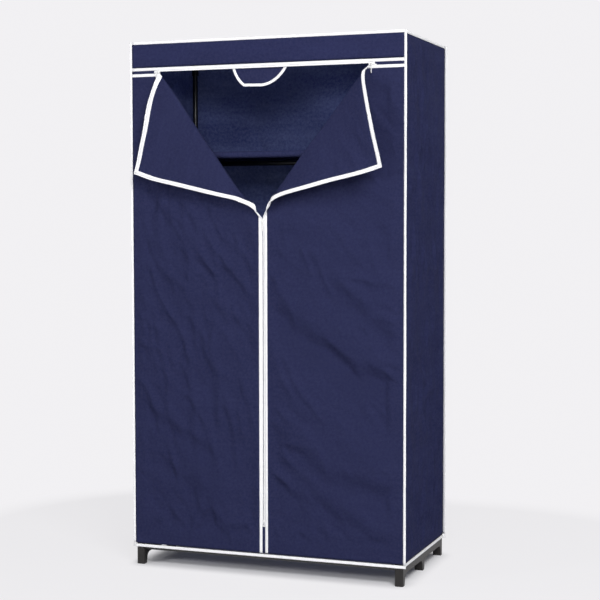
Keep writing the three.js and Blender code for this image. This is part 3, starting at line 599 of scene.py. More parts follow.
def shelf_place(u, v):
    """v runs from the front tail below, round the front tube, across, and round the back tube."""
    wave = 0.0016 * wobble(u * 6, v * 9, 2.0) + 0.0009 * wobble(u * 21, v * 6, 4.0)
    if v < sleeve_tail:
        return tail_place(u, front_bar[0] + sleeve_tail - v, sleeve_tail - v)
    v -= sleeve_tail
    if v < half_turn:
        return round_bar(u, front_bar, -math.pi / 2 - v / sleeve_radius)
    v -= half_turn
    if v < shelf_span:
        share = v / shelf_span
        height = sleeve_radius - shelf_sag * swell(share) + wave * swell(share)
        return Vector((u, front_bar[0] + v, front_bar[1] + height))
    v -= shelf_span
    if v < half_turn:
        return round_bar(u, back_bar, math.pi / 2 - v / sleeve_radius)
    v -= half_turn
    return tail_place(u, back_bar[0] - v, v)


def strip_outline(u0, u1, v0, v1):
    return [(u0, v0), (u1, v0), (u1, v1), (u0, v1)]


shelf_bends = [(0, sleeve_tail), (0, sleeve_tail + half_turn), (0, shelf_cut - sleeve_tail - half_turn),
               (0, shelf_cut - sleeve_tail)]
shelf_turns = [(point, (0, 1)) for point in shelf_bends]
for start in (sleeve_tail, shelf_cut - sleeve_tail - half_turn):
    shelf_turns += [((0, start + half_turn * i / 10), (0, 1)) for i in range(1, 10)]
flat_shelf = cut_cloth(strip_outline(sheet_low.x, sheet_high.x, 0, shelf_cut), (0.016, 0.012), shelf_turns)
shelf = hang_cloth("shelf_cloth", flat_shelf, shelf_place, cloth_thickness, [navy_outside])
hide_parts("shelf_sheet")

# Cover: the fixed cloth panels. Each is cut flat and sewn to the next along the edges of the
# wardrobe; packing in a small bag has left pressed fold lines, and the cloth bows out a little.
cloth_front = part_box("fascia")[0].y + cloth_thickness / 2
cloth_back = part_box("back_panel")[0].y + cloth_thickness / 2
side_low, side_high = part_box("right_side_panel")
half_width = 0.43
cloth_side = half_width - cloth_thickness / 2
cover_foot, cover_top = side_low.z, side_high.z
cover_middle = (side_low.y + side_high.y) / 2
panel_grid = (0.007, 0.007)
half_depth = 0.2229
half_top = 0.4285
level_folds = (0.42, 0.81, 1.19)


def press_line(distance, depth, width=0.010):
    """A line where the cloth was folded in its bag: a low ridge with a fine valley along it."""
    return depth * (math.exp(-(distance / width) ** 2) - 0.8 * math.exp(-(distance / (width * 0.35)) ** 2))


def with_level_folds(lines, v, depth):
    """Adds the folds from the bag that run level round the cover."""
    for height in level_folds:
        lines += press_line(v - height, depth)
    return lines


def bow_up(v):
    return swell((v - cover_foot) / (cover_top - cover_foot))


def edge_share(u, v, low_u, high_u, low_v, high_v, reach):
    """0 on the sewn edges, and 1 further than reach from all of them."""
    near = min(u - low_u, high_u - u, v - low_v, high_v - v)
    return ramp(near, 0, reach)


def upright_creases(u, v, seed, height):
    """Close, long creases that run down the cloth from its tight upper edge."""
    bent = u + 0.012 * wobble(u * 8, v * 5, seed)
    crests = 0
    for close, share in ((34, 1), (70, 0.45)):
        wave = wobble(bent * close, v * 5.5, seed + close)
        crests += share * max(0, 1 - abs(wave) * 2.8) ** 2
    calm = 0.6 + wobble(u * 6, v * 4, seed + 4.4)
    return height * min(1, max(0.1, calm)) * crests


def side_place(side):
    def place(u, v):
        y = cover_middle + side * u
        free = edge_share(u, v, -half_depth, half_depth, cover_foot, cover_top, 0.05)
        bow = 0.004 * swell((u + half_depth) / (2 * half_depth)) * bow_up(v)
        folds = drag_folds(u, v, 20 + side, -1.15 * side, 0.019)
        gathers = upright_creases(u, v, 25 + side, 0.0080)
        lines = with_level_folds(gathers + press_line(u - 0.005, 0.0011), v, 0.0008)
        by_tube = ramp(abs(v - frame_heights["shelf"]), 0.016, 0.045)
        inward = 0.0010 + 0.006 * ramp(half_depth - abs(u), 0.03, 0.05) * free * by_tube
        out = soft_between(bow + free * (folds + lines) - 0.001, -inward, 0.012)
        return Vector((side * (cloth_side + out), y, v))
    return place


def sew_panel(node, half_u, low_v, high_v, place, grid=panel_grid):
    """Cuts a rectangle of cover cloth and hangs it in the place of a solid."""
    flat = cut_cloth(strip_outline(-half_u, half_u, low_v, high_v), grid)
    panel = hang_cloth(node + "_cloth", flat, place, cloth_thickness, [navy_outside, navy_inside_painted_light])
    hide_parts(node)


for name, side in (("left", -1), ("right", 1)):
    sew_panel(f"{name}_side_panel", half_depth, cover_foot, cover_top, side_place(side))


def back_place(u, v):
    free = edge_share(u, v, -half_width, half_width, cover_foot, cover_top, 0.05)
    bow = 0.003 * swell((u + half_width) / (2 * half_width)) * bow_up(v)
    lines = press_line(u - 0.21, 0.001) + press_line(u + 0.22, 0.001) + press_line(u, 0.001)
    lines = with_level_folds(lines, v, 0.0008)
    out = bow + free * (drag_folds(u, v, 31, 1.1, 0.018) + lines)
    inward = 0.0010 + 0.006 * ramp(half_width - abs(u), 0.04, 0.06) * free
    return Vector((-u, cloth_back + soft_between(out, -inward, 0.012), v))


sew_panel("back_panel", half_width, cover_foot, cover_top, back_place)


def top_place(u, v):
    share_u = (u + half_top) / (2 * half_top)
    share_v = (v + half_depth) / (2 * half_depth)
    sag = 0.006 * swell((share_u - 0.12) / 0.76) * swell((share_v - 0.12) / 0.76)
    free = edge_share(u, v, -half_top, half_top, -half_depth, half_depth, 0.04)
    folds = free * (drag_folds(u, v, 44, 0.4, 0.0022) + press_line(u - 0.02, 0.0008))
    return Vector((u, cover_middle + v, cover_top - cloth_thickness / 2 - sag + folds))


sew_panel("top_panel", half_top, -half_depth, half_depth, top_place)

# Fascia: the fixed strip over the door, stretched along the front tube of the top.
fascia_low, fascia_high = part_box("fascia")


def fascia_place(u, v):
    free = edge_share(u, v, -half_width, half_width, fascia_low.z, fascia_high.z, 0.02)
    wave = drag_folds(u, v * 1.4, 52, 0.35, 0.0120)
    return Vector((u, cloth_front - free * soft_between(wave, -0.0006, 0.006, 0.0005), v))


sew_panel("fascia", half_width, fascia_low.z, fascia_high.z, fascia_place,
          (0.008, 0.008))

# Door halves: one rectangle of cloth each, from the corner seam to the zip. The zip is open down to
# its slider, and the free corner is folded out over a soft roll, so that its inner face shows.
door_centre = -0.004
door_side = half_width
zip_line = 1.508
zip_foot = 0.150
fold_foot = 1.065
zip_gap = 0.0014
zip_pitch = 0.0016
tape_width = 0.0038
tape_thickness = 0.0015
bound_width = 0.0088
binding_thickness = 0.0018
border = tape_width + bound_width
# Outwards from the middle of the zip: where its turns lie, where the tape is seen, and where the
# binding starts, under which the tape ends.
coil_offset = zip_gap / 2 + 0.0011
tape_start = zip_gap / 2 + 0.0009
near_tape = zip_gap / 2 + tape_width
tape_end = near_tape + 0.0006
# Down the fold, from the top zip's slider (0) to the upright zip's (1): how far the roll starts from
# the straight line between them, the roll's radius, the flap's tilt, and how far its edge is pulled
# back, all in millimetres but the tilt in degrees.
door_shapes = {
    "left": {
        "side": -1, "reach": 0.339, "slant": 1.95, "seed": 61, "crumple": 0.027,
        "press": (-0.231, 0.12, 0.99),
        "folds": [
            ("ledge", 1.8, 14, 40, ((-0.425, 0.522), (-0.298, 0.437), (-0.145, 0.356))),
            ("ledge", 1.6, 12, 30, ((-0.415, 0.300), (-0.330, 0.225), (-0.290, 0.120))),
            ("crest", 2.6, 9, 60, ((-0.379, 0.947), (-0.337, 0.833), (-0.295, 0.770))),
            ("crest", 1.8, 7, 30, ((-0.425, 0.690), (-0.385, 0.683), (-0.335, 0.668))),
            ("crest", 2.4, 10, 40, ((-0.227, 0.517), (-0.170, 0.400), (-0.143, 0.300))),
            ("crest", 2.6, 11, 50, ((-0.130, 0.560), (-0.100, 0.440), (-0.085, 0.300))),
            ("crest", 2.0, 8, 40, ((-0.390, 0.560), (-0.330, 0.430), (-0.285, 0.310))),
            ("crest", 2.0, 9, 30, ((-0.357, 0.450), (-0.300, 0.330), (-0.262, 0.200))),
            ("ledge", 2.0, 12, 30, ((-0.160, 0.930), (-0.110, 0.905), (-0.060, 0.850))),
            ("ledge", 1.8, 10, 30, ((-0.128, 1.011), (-0.074, 0.949), (-0.027, 0.900))),
            ("crest", 1.6, 6, 20, ((-0.205, 0.690), (-0.175, 0.640), (-0.160, 0.600))),
            ("ledge", 1.6, 10, 20, ((-0.428, 0.171), (-0.357, 0.111), (-0.314, 0.075)))],
        "starts": ((0, -0.5), (0.1, -1.5), (0.23, -3.5), (0.36, -8.5), (0.55, -12), (0.68, -14.5), (0.8, -14),
                   (0.9, -7.5), (0.96, -4), (1, -1.5)),
        "radii": ((0, 2.5), (0.05, 5), (0.2, 8), (0.45, 10), (0.65, 10.5), (0.82, 8), (0.92, 5), (0.97, 3.5),
                  (1, 2.5)),
        "tilts": ((0, 14), (0.15, 11), (0.37, 6), (0.57, 8.5), (0.74, 11), (0.88, 18), (1, 24)),
        "pulls": ((0, -4), (0.05, -12), (0.1, -15.5), (0.15, -10.5), (0.21, 0), (0.27, 8), (0.35, 19),
                  (0.46, 17), (0.54, 20.5), (0.7, 32.5), (0.82, 41), (0.87, 35), (0.91, 29), (0.94, 20),
                  (1, 0))},
    "right": {
        "side": 1, "reach": 0.335, "slant": -0.72, "seed": 77, "crumple": 0.020,
        "press": (0.243, 0.33, 0.99),
        "folds": [
            ("ledge", 5.6, 33, 40, ((0.000, 0.840), (0.085, 0.784), (0.177, 0.706), (0.293, 0.636),
                                    (0.440, 0.592))),
            ("ledge", 3.0, 16, 30, ((0.190, 0.720), (0.250, 0.655), (0.290, 0.590))),
            ("ledge", 3.6, 24, 50, ((0.216, 0.880), (0.293, 0.820), (0.356, 0.767), (0.425, 0.700))),
            ("ledge", 3.8, 28, 50, ((0.011, 0.464), (0.085, 0.405), (0.189, 0.324), (0.344, 0.284),
                                    (0.426, 0.277))),
            ("ledge", 3.4, 28, 50, ((0.011, 0.301), (0.189, 0.225), (0.344, 0.137), (0.426, 0.107))),
            ("ledge", 1.6, 8, 30, ((0.270, 0.892), (0.330, 0.880), (0.390, 0.868))),
            ("ledge", 1.8, 7, 30, ((0.365, 0.815), (0.400, 0.800), (0.435, 0.798))),
            ("ledge", 1.8, 7, 30, ((0.360, 0.655), (0.400, 0.640), (0.435, 0.625))),
            ("crest", 1.8, 6, 30, ((0.115, 0.985), (0.140, 0.930), (0.155, 0.885))),
            ("crest", 1.8, 7, 30, ((0.160, 0.965), (0.195, 0.880), (0.220, 0.830))),
            ("crest", 2.4, 9, 40, ((0.020, 0.700), (0.050, 0.610), (0.090, 0.540))),
            ("crest", 2.2, 9, 40, ((0.060, 0.660), (0.110, 0.560), (0.190, 0.470)))],
        "starts": ((0, -1), (0.1, -5), (0.25, -5), (0.42, -2), (0.58, 1), (0.7, -0.5), (0.8, -3.5),
                   (0.91, -7), (0.96, -3.5), (1, -1.5)),
        "radii": ((0, 2.5), (0.04, 6), (0.1, 9), (0.25, 10), (0.45, 9.5), (0.7, 11), (0.85, 14), (0.93, 11),
                  (0.97, 6), (1, 2.5)),
        "tilts": ((0, 30), (0.1, 29), (0.25, 23), (0.37, 17), (0.55, 17), (0.74, 20.5), (0.89, 30.5),
                  (1, 35)),
        "pulls": ((0, 6), (0.06, 14), (0.12, 8.5), (0.21, 2), (0.3, 1), (0.37, 4), (0.5, 4.5), (0.64, 10),
                  (0.75, 15), (0.88, 16.5), (0.92, 15), (0.96, 10), (1, 0))},
}


def through(points, x):
    """A smooth curve through (x, y) points, its slope at each from the neighbours."""
    x = min(max(x, points[0][0]), points[-1][0])
    i = max(k for k in range(len(points) - 1) if points[k][0] <= x)
    (x0, y0), (x1, y1) = points[i], points[i + 1]
    before, after = points[max(i - 1, 0)], points[min(i + 2, len(points) - 1)]
    width = x1 - x0
    slope0 = (y1 - before[1]) / (x1 - before[0]) * width
    slope1 = (after[1] - y0) / (after[0] - x0) * width
    t = (x - x0) / width
    return (y0 + (y1 - y0) * t * t * (3 - 2 * t) + slope0 * t * (1 - t) ** 2 - slope1 * t * t * (1 - t))


fold_steps = 200


def lay_out_door(door):
    """The fold line in the flat cut: along it, and over it towards the free corner."""
    side = door["side"]
    edge = zip_line - zip_gap / 2
    head = Vector((door_centre + side * door["reach"], edge))
    foot = Vector((door_centre + side * zip_gap / 2, fold_foot))
    corner = Vector((foot.x, edge))
    along = (foot - head).normalized()
    to_corner = corner - head
    over = (to_corner - along * to_corner.dot(along)).normalized()
    shape = []
    for i in range(fold_steps + 1):
        start, radius, tilt, pull = (
            through(door[key], i / fold_steps) for key in ("starts", "radii", "tilts", "pulls"))
        shape.append((start * 0.001, max(0.0015, radius * 0.001), math.radians(tilt), pull * 0.001))
    scaled = [(kind, height, width * 0.001, fade * 0.001, line)
              for kind, height, width, fade, line in door["folds"]]
    door.update(head=head, foot=foot, corner=corner, along=along, over=over, shape=shape, scaled=scaled,
                length=(foot - head).length, corner_over=to_corner.dot(over),
                corner_along=to_corner.dot(along))


def fold_at(door, a):
    """The fold's start, radius, tilt and pull at a distance down it."""
    place = min(fold_steps - 0.001, max(0, a / door["length"] * fold_steps))
    i = int(place)
    return [x + (y - x) * (place - i) for x, y in zip(door["shape"][i], door["shape"][i + 1])]


def flap_reach(door, a):
    """How far the cut runs over the fold line there."""
    if a < door["corner_along"]:
        return door["corner_over"] * max(0, a) / door["corner_along"]
    return door["corner_over"] * max(0, door["length"] - a) / (door["length"] - door["corner_along"])


named_height = 0.0028


def door_relief(u, v, door):
    """How far the hanging part of the door stands out of its plane."""
    outer = abs(u) / door_side
    in_from_seam = door_side - abs(u)
    from_seam = ramp(in_from_seam, 0, 0.035) * ramp(v - cover_foot, 0, 0.05) * ramp(zip_line - v, 0.012, 0.06)
    from_zip = ramp(abs(u - door_centre), 0.012, 0.05) if v < fold_foot else 1
    folds = drag_folds(u, v, door["seed"], door["slant"], door["crumple"])
    folds += named_height * named_folds(u, v, door["scaled"])
    at, low, high = door["press"]
    in_press = ramp(v, low - 0.03, low + 0.03)
    lines = press_line(u - at, 0.0012, 0.0075) * in_press * ramp(high + 0.04 - v, 0, 0.06)
    lines = with_level_folds(lines, v, 0.0004)
    bow = 0.0022 * swell(outer) * bow_up(v)
    pucker = 0.0012 * wobble(u * 4, v * 38, door["seed"] + 20) * ramp(abs(u), 0.33, 0.42)
    pucker *= ramp(v - cover_foot, 0.008, 0.035)
    stand = from_seam * (from_zip * (folds + lines) + bow) + ramp(in_from_seam, 0, 0.012) * pucker
    by_tube = ramp(in_from_seam, 0.04, 0.06) * ramp(v, 0.10, 0.15)
    by_tube *= ramp(abs(v - frame_heights["shelf"]), 0, 0.04)
    return soft_between(stand - 0.0008, -0.0008 - 0.008 * by_tube, 0.0034 + 0.009 * max(0, zip_line - v))


def flap_wave(a, beyond, door):
    """The free corner isn't flat: a soft crown along its middle, and its edge droops."""
    crown = 0.0025 * swell(beyond / 0.24) * swell(a / door["length"])
    wave = 0.002 * wobble(a * 7, beyond * 6, door["seed"])
    wave += drag_folds(a, beyond, door["seed"] + 30, 1.2, 0.013)
    return crown + wave * ramp(beyond, 0.015, 0.07)


def door_place(door):
    head, along, over = door["head"], door["along"], door["over"]
    along_3d = Vector((along.x, 0, along.y))
    over_3d = Vector((over.x, 0, over.y))
    out = Vector((0, -1, 0))
    base = Vector((head.x, cloth_front, head.y))

    def place(u, v, lift=0):
        from_head = Vector((u, v)) - head
        a = from_head.dot(along)
        start, radius, tilt, pull = fold_at(door, a)
        turned = math.pi - tilt
        o = from_head.dot(over) - start
        if o <= 0 or v < fold_foot:
            near = ramp(-o, 0, 0.09) if v > fold_foot - 0.05 else 1
            stand = door_relief(u, v, door) * near
            return Vector((u, cloth_front - stand - lift, v))
        line = base + along_3d * a + over_3d * start + out * radius
        if o < turned * radius:
            turn = o / radius - math.pi / 2
            return line + (over_3d * math.cos(turn) + out * math.sin(turn)) * (radius - lift)
        beyond = o - turned * radius
        edge = max(0.012, flap_reach(door, a) - start - turned * radius - 1.2 * border)
        share = min(1, beyond / edge)
        back = pull * share
        bulge = 0.08 * math.sqrt(max(0, edge * pull)) * swell(share)
        raised = flap_wave(a, beyond, door) * ramp(1 - share, -0.02, 0.2) + bulge - lift
        sheet = out * math.cos(tilt) + over_3d * math.sin(tilt)
        away = out * math.sin(tilt) - over_3d * math.cos(tilt)
        return line + sheet * radius + away * beyond + over_3d * back + sheet * raised
    return place


def fold_cuts(door):
    """The lines of the flat cut that the roll bends along."""
    across = (door["over"].x, door["over"].y)
    return [(tuple(door["head"] + door["over"] * 0.0024 * i), across) for i in range(-9, 16)]


def band_faces(door, inner, outer):
    """A band of the flat cut beside the zip, from the hem up to the free corner and out to the seam."""
    side = door["side"]
    near = door_centre + side * inner
    far = door_centre + side * outer
    high, low = zip_line - inner, zip_line - outer
    end = side * (door_side if inner > tape_width else door["reach"] + 0.012)
    foot = cover_foot if inner > tape_width else zip_foot
    points = [(near, foot), (near, high), (end, high), (end, low), (far, low), (far, foot)]
    if side < 0:
        faces = [(0, 1, 4, 5), (1, 2, 3, 4)]
    else:
        faces = [(5, 4, 1, 0), (4, 3, 2, 1)]
    return points, faces


def map_tape(bm, to_tape):
    """A second map for the tape's weave: along the tape, and the distance from its navy-side edge."""
    tape = bm.loops.layers.uv.new("tape")
    cut = bm.loops.layers.uv["cut"]
    for face in bm.faces:
        for loop in face.loops:
            loop[tape].uv = to_tape(face, *loop[cut].uv)


def round_corner(outer):
    """The map of a band that runs up beside the zip, and from the corner along the upper zip."""
    def to_tape(face, u, v):
        middle = face.calc_center_median()
        if abs(middle.x - door_centre) < abs(zip_line - middle.y):
            return v, outer - abs(u - door_centre)
        return u, outer - (zip_line - v)
    return to_tape


def door_band(name, door, near, far, edge, thickness, material):
    """A band of tape beside the door's zip, which hangs and folds with the door."""
    points, faces = band_faces(door, near, far)
    band = cut_cloth(points, door_grid, fold_cuts(door), faces)
    map_tape(band, round_corner(edge))
    return hang_cloth(name, band, door_place(door), thickness, [material], None)


rib_pitch = 0.0009
row_pitch = 0.0007
stitch_pitch = 0.0032
stitch_inset = 0.0017
stitch_half_width = 0.00032


def woven_tape(name, light, dark, stitched):
    """Polyester tape: fine ribs across it, and where it is a binding, one row of lockstitch near its edge,
    with painted shade in its needle holes.
    """
    material, shader = new_material(name, light, 0.72)
    tape = join_up(material, "UVMap", settings={"uv_map": "tape"}).outputs[0]
    split = join_up(material, "SeparateXYZ", Vector=tape)
    ribs = reckon(material, "SINE", reckon(material, "MULTIPLY", split.outputs[0], 2 * math.pi / rib_pitch))
    rows = reckon(material, "SINE", reckon(material, "MULTIPLY", split.outputs[1], 2 * math.pi / row_pitch))
    weave = reckon(material, "MULTIPLY", reckon(material, "ADD", ribs, rows), 0.12)
    soft = grain(material, tape, 90, 4)
    relief = reckon(material, "ADD", weave, reckon(material, "MULTIPLY", soft, 0.6))
    shade = remap(material, soft, From_Min=0.3, From_Max=0.7)
    if stitched:
        row = away_from(material, split.outputs[1], stitch_inset)
        near_row = reckon(material, "LESS_THAN", row, stitch_half_width)
        step = reckon(material, "FRACT", reckon(material, "DIVIDE", split.outputs[0], stitch_pitch))
        on_thread = reckon(material, "LESS_THAN", step, 0.72)
        thread = reckon(material, "MULTIPLY", near_row, on_thread)
        needle = reckon(material, "SUBTRACT", near_row, thread)
        relief = reckon(material, "ADD", relief, reckon(material, "MULTIPLY", thread, 0.8))
        relief = reckon(material, "SUBTRACT", relief, reckon(material, "MULTIPLY", needle, 1.2))
        # The needle holes are darkened in colour too: painted shade in them.
        shade = reckon(material, "SUBTRACT", shade, reckon(material, "MULTIPLY", needle, 1.0))
    tint(material, shader, shade, dark, light)
    sock(shader, "Sheen Weight").default_value = 0.15
    add_bump(material, shader, relief, 0.0003, 0.6)
    return material


white_binding = woven_tape("white_binding", (0.93, 0.93, 0.94), (0.86, 0.86, 0.88), True)
white_zip_tape = woven_tape("white_zip_tape", (0.92, 0.92, 0.93), (0.84, 0.84, 0.86), False)
zip_coil, coil_shader = new_material("zip_coil", (0.90, 0.90, 0.91), 0.42)
add_bump(zip_coil, coil_shader, grain(zip_coil, object_place(zip_coil), 700, 2), 0.0001, 0.4)


def coil_row(count):
    """A row of zip turns along +X: one small rounded link, repeated by an array."""
    bm = bevelled_bar((zip_pitch * 0.66, 0.0022, 0.0024), 0.0004)
    bmesh.ops.translate(bm, vec=(zip_pitch / 2, 0, 0), verts=bm.verts[:])
    mesh = new_mesh("link", bm)
    link = new_object("link", mesh)
    rows = link.modifiers.new("turns", "ARRAY")
    rows.count = count
    rows.use_relative_offset = False
    rows.use_constant_offset = True
    rows.constant_offset_displace = (zip_pitch, 0, 0)
    depsgraph = bpy.context.evaluated_depsgraph_get()
    whole = bpy.data.meshes.new_from_object(link.evaluated_get(depsgraph))
    row = bmesh.new()
    row.from_mesh(whole)
    bpy.data.objects.remove(link)
    bpy.data.meshes.remove(mesh)
    bpy.data.meshes.remove(whole)
    return row


def row_of_turns(start, end):
    """A row of turns in the flat cut, from start to end."""
    run = Vector(end) - Vector(start)
    row = coil_row(int(run.length / zip_pitch))
    turn = Matrix.Rotation(math.atan2(run.y, run.x), 4, "Z")
    bmesh.ops.transform(row, matrix=Matrix.Translation((*start, 0)) @ turn, verts=row.verts[:])
    return row


def hang_turns(name, turns, place, body="frame_and_cover"):
    """Takes a row of turns from the flat cut to its place."""
    for vert in turns.verts:
        vert.co = place(*vert.co)
    return place_piece(name, turns, zip_coil, body)


door_grid = (0.006, 0.006)
under_binding = near_tape + bound_width * 0.45
for name, door in door_shapes.items():
    lay_out_door(door)
    side = door["side"]
    place = door_place(door)
    edge = door_centre + side * under_binding
    top = zip_line - under_binding
    seam = side * door_side
    outline = strip_outline(min(edge, seam), max(edge, seam), cover_foot, top)
    flat = cut_cloth(outline, door_grid, fold_cuts(door))
    cloth = hang_cloth(f"{name}_door_cloth", flat, place, cloth_thickness, [navy_outside], None)
    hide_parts(f"front_{name}_panel", f"{name}_flap")
    binding = door_band(f"{name}_door_binding", door, near_tape, near_tape + bound_width,
                        near_tape + bound_width, binding_thickness, white_binding)
    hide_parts(f"{name}_zip_edge", f"door_top_binding_{name}")
    tape = door_band(f"{name}_door_zip_tape", door, tape_start, tape_end, near_tape, tape_thickness,
                     white_zip_tape)
    coil_u, coil_top = door_centre + side * coil_offset, zip_line - coil_offset
    turns = row_of_turns((coil_u, zip_foot), (coil_u, coil_top))
    reach = door["reach"] + 0.014
    add_mesh(turns, row_of_turns((door_centre + side * (coil_offset + 0.002), coil_top),
                                 (door_centre + side * reach, coil_top)))
    coil = hang_turns(f"{name}_door_zip_coil", turns, place, None)
    for piece in (cloth, binding, tape, coil):
        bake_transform(piece)

# Guard tab: a tongue of cover cloth sewn behind the upper zip, where the sliders meet when the door
# is shut. Its curved edge has a narrow binding.
tab_left, tab_right = -0.1020, 0.0745
tab_top, tab_foot, tab_root = 0.0055, 0.052, 0.0165
tab_flat = (-0.0654, -0.0060)
tab_back = 0.005


def quadratic(start, handle, end, count):
    points = []
    for i in range(count + 1):
        t = i / count
        points.append(tuple((1 - t) ** 2 * a + 2 * t * (1 - t) * b + t * t * c
                            for a, b, c in zip(start, handle, end)))
    return points


rim_line = quadratic((tab_left, tab_top), (-0.0925, -0.0328), (tab_flat[0], -tab_foot), 14)
rim_line += quadratic((tab_flat[1], -tab_foot - 0.0012), (0.0425, -0.0480), (tab_right, tab_top), 18)


def tab_place(u, v, lift=0):
    """v is the height over the zip line. Above the tab's bend the root comes forward to the seam."""
    back = tab_back - 0.003 * ramp(v, tab_top, tab_top + 0.005)
    wave = 0.0016 * wobble(u * 12, v * 9, 5.0) * ramp(tab_top - v, 0, 0.02)
    return Vector((u, cloth_front + back + wave - lift, zip_line + v))


flat = cut_cloth([*rim_line, (tab_right, tab_root), (tab_left, tab_root)], (0.007, 0.007))
bmesh.ops.reverse_faces(flat, faces=[f for f in flat.faces if f.normal.z < 0])
tab = hang_cloth("guard_tab_cloth", flat, tab_place, cloth_thickness, [navy_outside],
                 "guard_tab")
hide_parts("centre_tab")

# Bias tape, folded over an edge: the radius of its fold, and its own thickness.
fold_radius = 0.0010
fold_thickness = 0.0004


class Run:
    """A line of points that is walked by its length."""

    def __init__(self, points):
        self.points = [Vector(p) for p in points]
        self.marks = [0.0]
        for a, b in zip(self.points, self.points[1:]):
            self.marks.append(self.marks[-1] + (b - a).length)
        self.length = self.marks[-1]

    def at(self, distance):
        """The point at a distance, and the way that the line runs there."""
        i = 1
        while i < len(self.marks) - 1 and self.marks[i] < distance:
            i += 1
        a, b = self.points[i - 1], self.points[i]
        step = b - a
        share = (distance - self.marks[i - 1]) / max(1e-9, step.length)
        before = self.points[max(0, i - 2)]
        after = self.points[min(len(self.points) - 1, i + 1)]
        way = (a - before).lerp(after - b, share) + step
        return a + step * share, way.normalized()


def over_edge(v, width):
    """A folded tape's section: v runs up one face, round the fold and down the other."""
    straight = width - fold_radius
    bend = math.pi * fold_radius
    if v < straight:
        return v, -fold_radius
    if v < straight + bend:
        turn = (v - straight) / fold_radius
        return straight + fold_radius * math.sin(turn), -fold_radius * math.cos(turn)
    return straight - (v - straight - bend), fold_radius


def folded_binding(name, length, width, place, body="frame_and_cover", step=0.012):
    """Bias tape folded over an edge. place(u, reach, side) takes the section to its place."""
    total = 2 * (width - fold_radius) + math.pi * fold_radius
    bends = [((0, width - fold_radius + math.pi * fold_radius * i / 6), (0, 1)) for i in range(7)]
    strip = cut_cloth(strip_outline(0, length, 0, total), (step, 0.0045), bends)
    map_tape(strip, lambda face, u, v: (u, min(v, total - v)))

    def to_place(u, v):
        return place(u, *over_edge(v, width))

    return hang_cloth(name, strip, to_place, fold_thickness, [white_binding], body)


rim = Run([(u, v, 0) for u, v in rim_line])
rim_width = 0.008


def rim_place(u, reach, side):
    spot, way = rim.at(u)
    inward = Vector((-way.y, way.x, 0))
    flat_spot = spot + inward * (rim_width - reach)
    return tab_place(flat_spot.x, flat_spot.y, side)


tab_rim = folded_binding("guard_tab_binding", rim.length, rim_width, rim_place, "guard_tab", 0.005)

# Corner, top and hem bindings: white bias tape folded over the raw edges where two panels meet. The
# corner bindings stand out sideways as soft fins, and the top ones stand up.


corner_fin = 0.0087
corner_lap = 0.0010
corner_short = 0.0016
hem_width = 0.0084
hem_half = 0.4372
hem_lap = 0.0034
edge_rise = 0.008
ring_inset = 0.0012
ring_clear = 0.0014


def corner_place(sign, y, base_x, foot):
    def place(u, reach, side):
        z = foot + u
        sway = 0.0011 * wobble(z * 5, 3.0 * sign, y * 9) + 0.0006 * wobble(z * 19, sign, y)
        pinch = 0.0006 * wobble(z * 9, 8.0 * sign, y * 9)
        share = reach / corner_fin
        return Vector((sign * (base_x + reach - pinch * share), y + sign * side + sway * share, z))
    return place


for corner in upright_places:
    low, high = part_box(f"{corner}_binding")
    sign = -1 if low.x < 0 else 1
    near = min(abs(low.x), abs(high.x))
    far = max(abs(low.x), abs(high.x))
    place = corner_place(sign, (low.y + high.y) / 2, near - corner_lap, low.z)
    width = far - near - corner_short
    binding = folded_binding(f"{corner}_binding_tape", high.z - low.z - 0.0003, width, place)
    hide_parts(f"{corner}_binding")


def edge_place(start, way, outward, rise, seed):
    """A straight run of binding whose fold points up (rise 1) or down (rise -1)."""
    def place(u, reach, side):
        sway = 0.0004 * wobble(u * 9, seed, 2.0) * reach / edge_rise
        lift = 0.0003 * wobble(u * 7, seed, 7.0) * reach / edge_rise
        height = rise * (reach + lift - 0.0003)
        return start + way * u - outward * side * rise + outward * sway + Vector((0, 0, height))
    return place


def ring_of_binding(name, low, high, rise, height, width_x):
    """Four runs round the wardrobe, which overlap at its corners."""
    z = low.z if rise > 0 else high.z
    front, back = low.y + ring_inset, high.y - ring_inset
    runs = [
        ("front", Vector((-width_x, front, z)), Vector((1, 0, 0)), Vector((0, -1, 0)), 2 * width_x),
        ("back", Vector((width_x, back, z)), Vector((-1, 0, 0)), Vector((0, 1, 0)), 2 * width_x)]
    side_x = half_width - ring_inset
    for label, sign in (("right", 1), ("left", -1)):
        start_y = front if sign > 0 else back
        runs.append((label, Vector((sign * side_x, start_y + sign * ring_clear, z)), Vector((0, sign, 0)),
                     Vector((sign, 0, 0)), back - front - 2 * ring_clear))
    return [
        folded_binding(f"{name}_{label}", length, height, edge_place(start, way, outward, rise, i + 3.0))
        for i, (label, start, way, outward, length) in enumerate(runs)]


ring_low, ring_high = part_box("top_binding")
tops = ring_of_binding("top_binding_tape", ring_low, ring_high, 1, ring_high.z - ring_low.z, half_width)
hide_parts("top_binding")
hem_low, hem_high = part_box("hem_binding")
hem_high.z -= hem_lap
hems = ring_of_binding("hem_binding_tape", hem_low, hem_high, -1, hem_width, hem_half)
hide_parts("hem_binding")

# Upper half of the top zips: bound cloth edge, tape and turns, sewn along the fascia's lower edge.


def fascia_zip_place(u, v, lift=0):
    return Vector((u, cloth_front - lift, zip_line + v))


def straight_band(name, u0, u1, v0, v1, thickness, material):
    band = cut_cloth(strip_outline(u0, u1, v0, v1), (0.012, 0.006))
    map_tape(band, lambda face, u, v: (u, v1 - v))
    return hang_cloth(name, band, fascia_zip_place, thickness, [material])


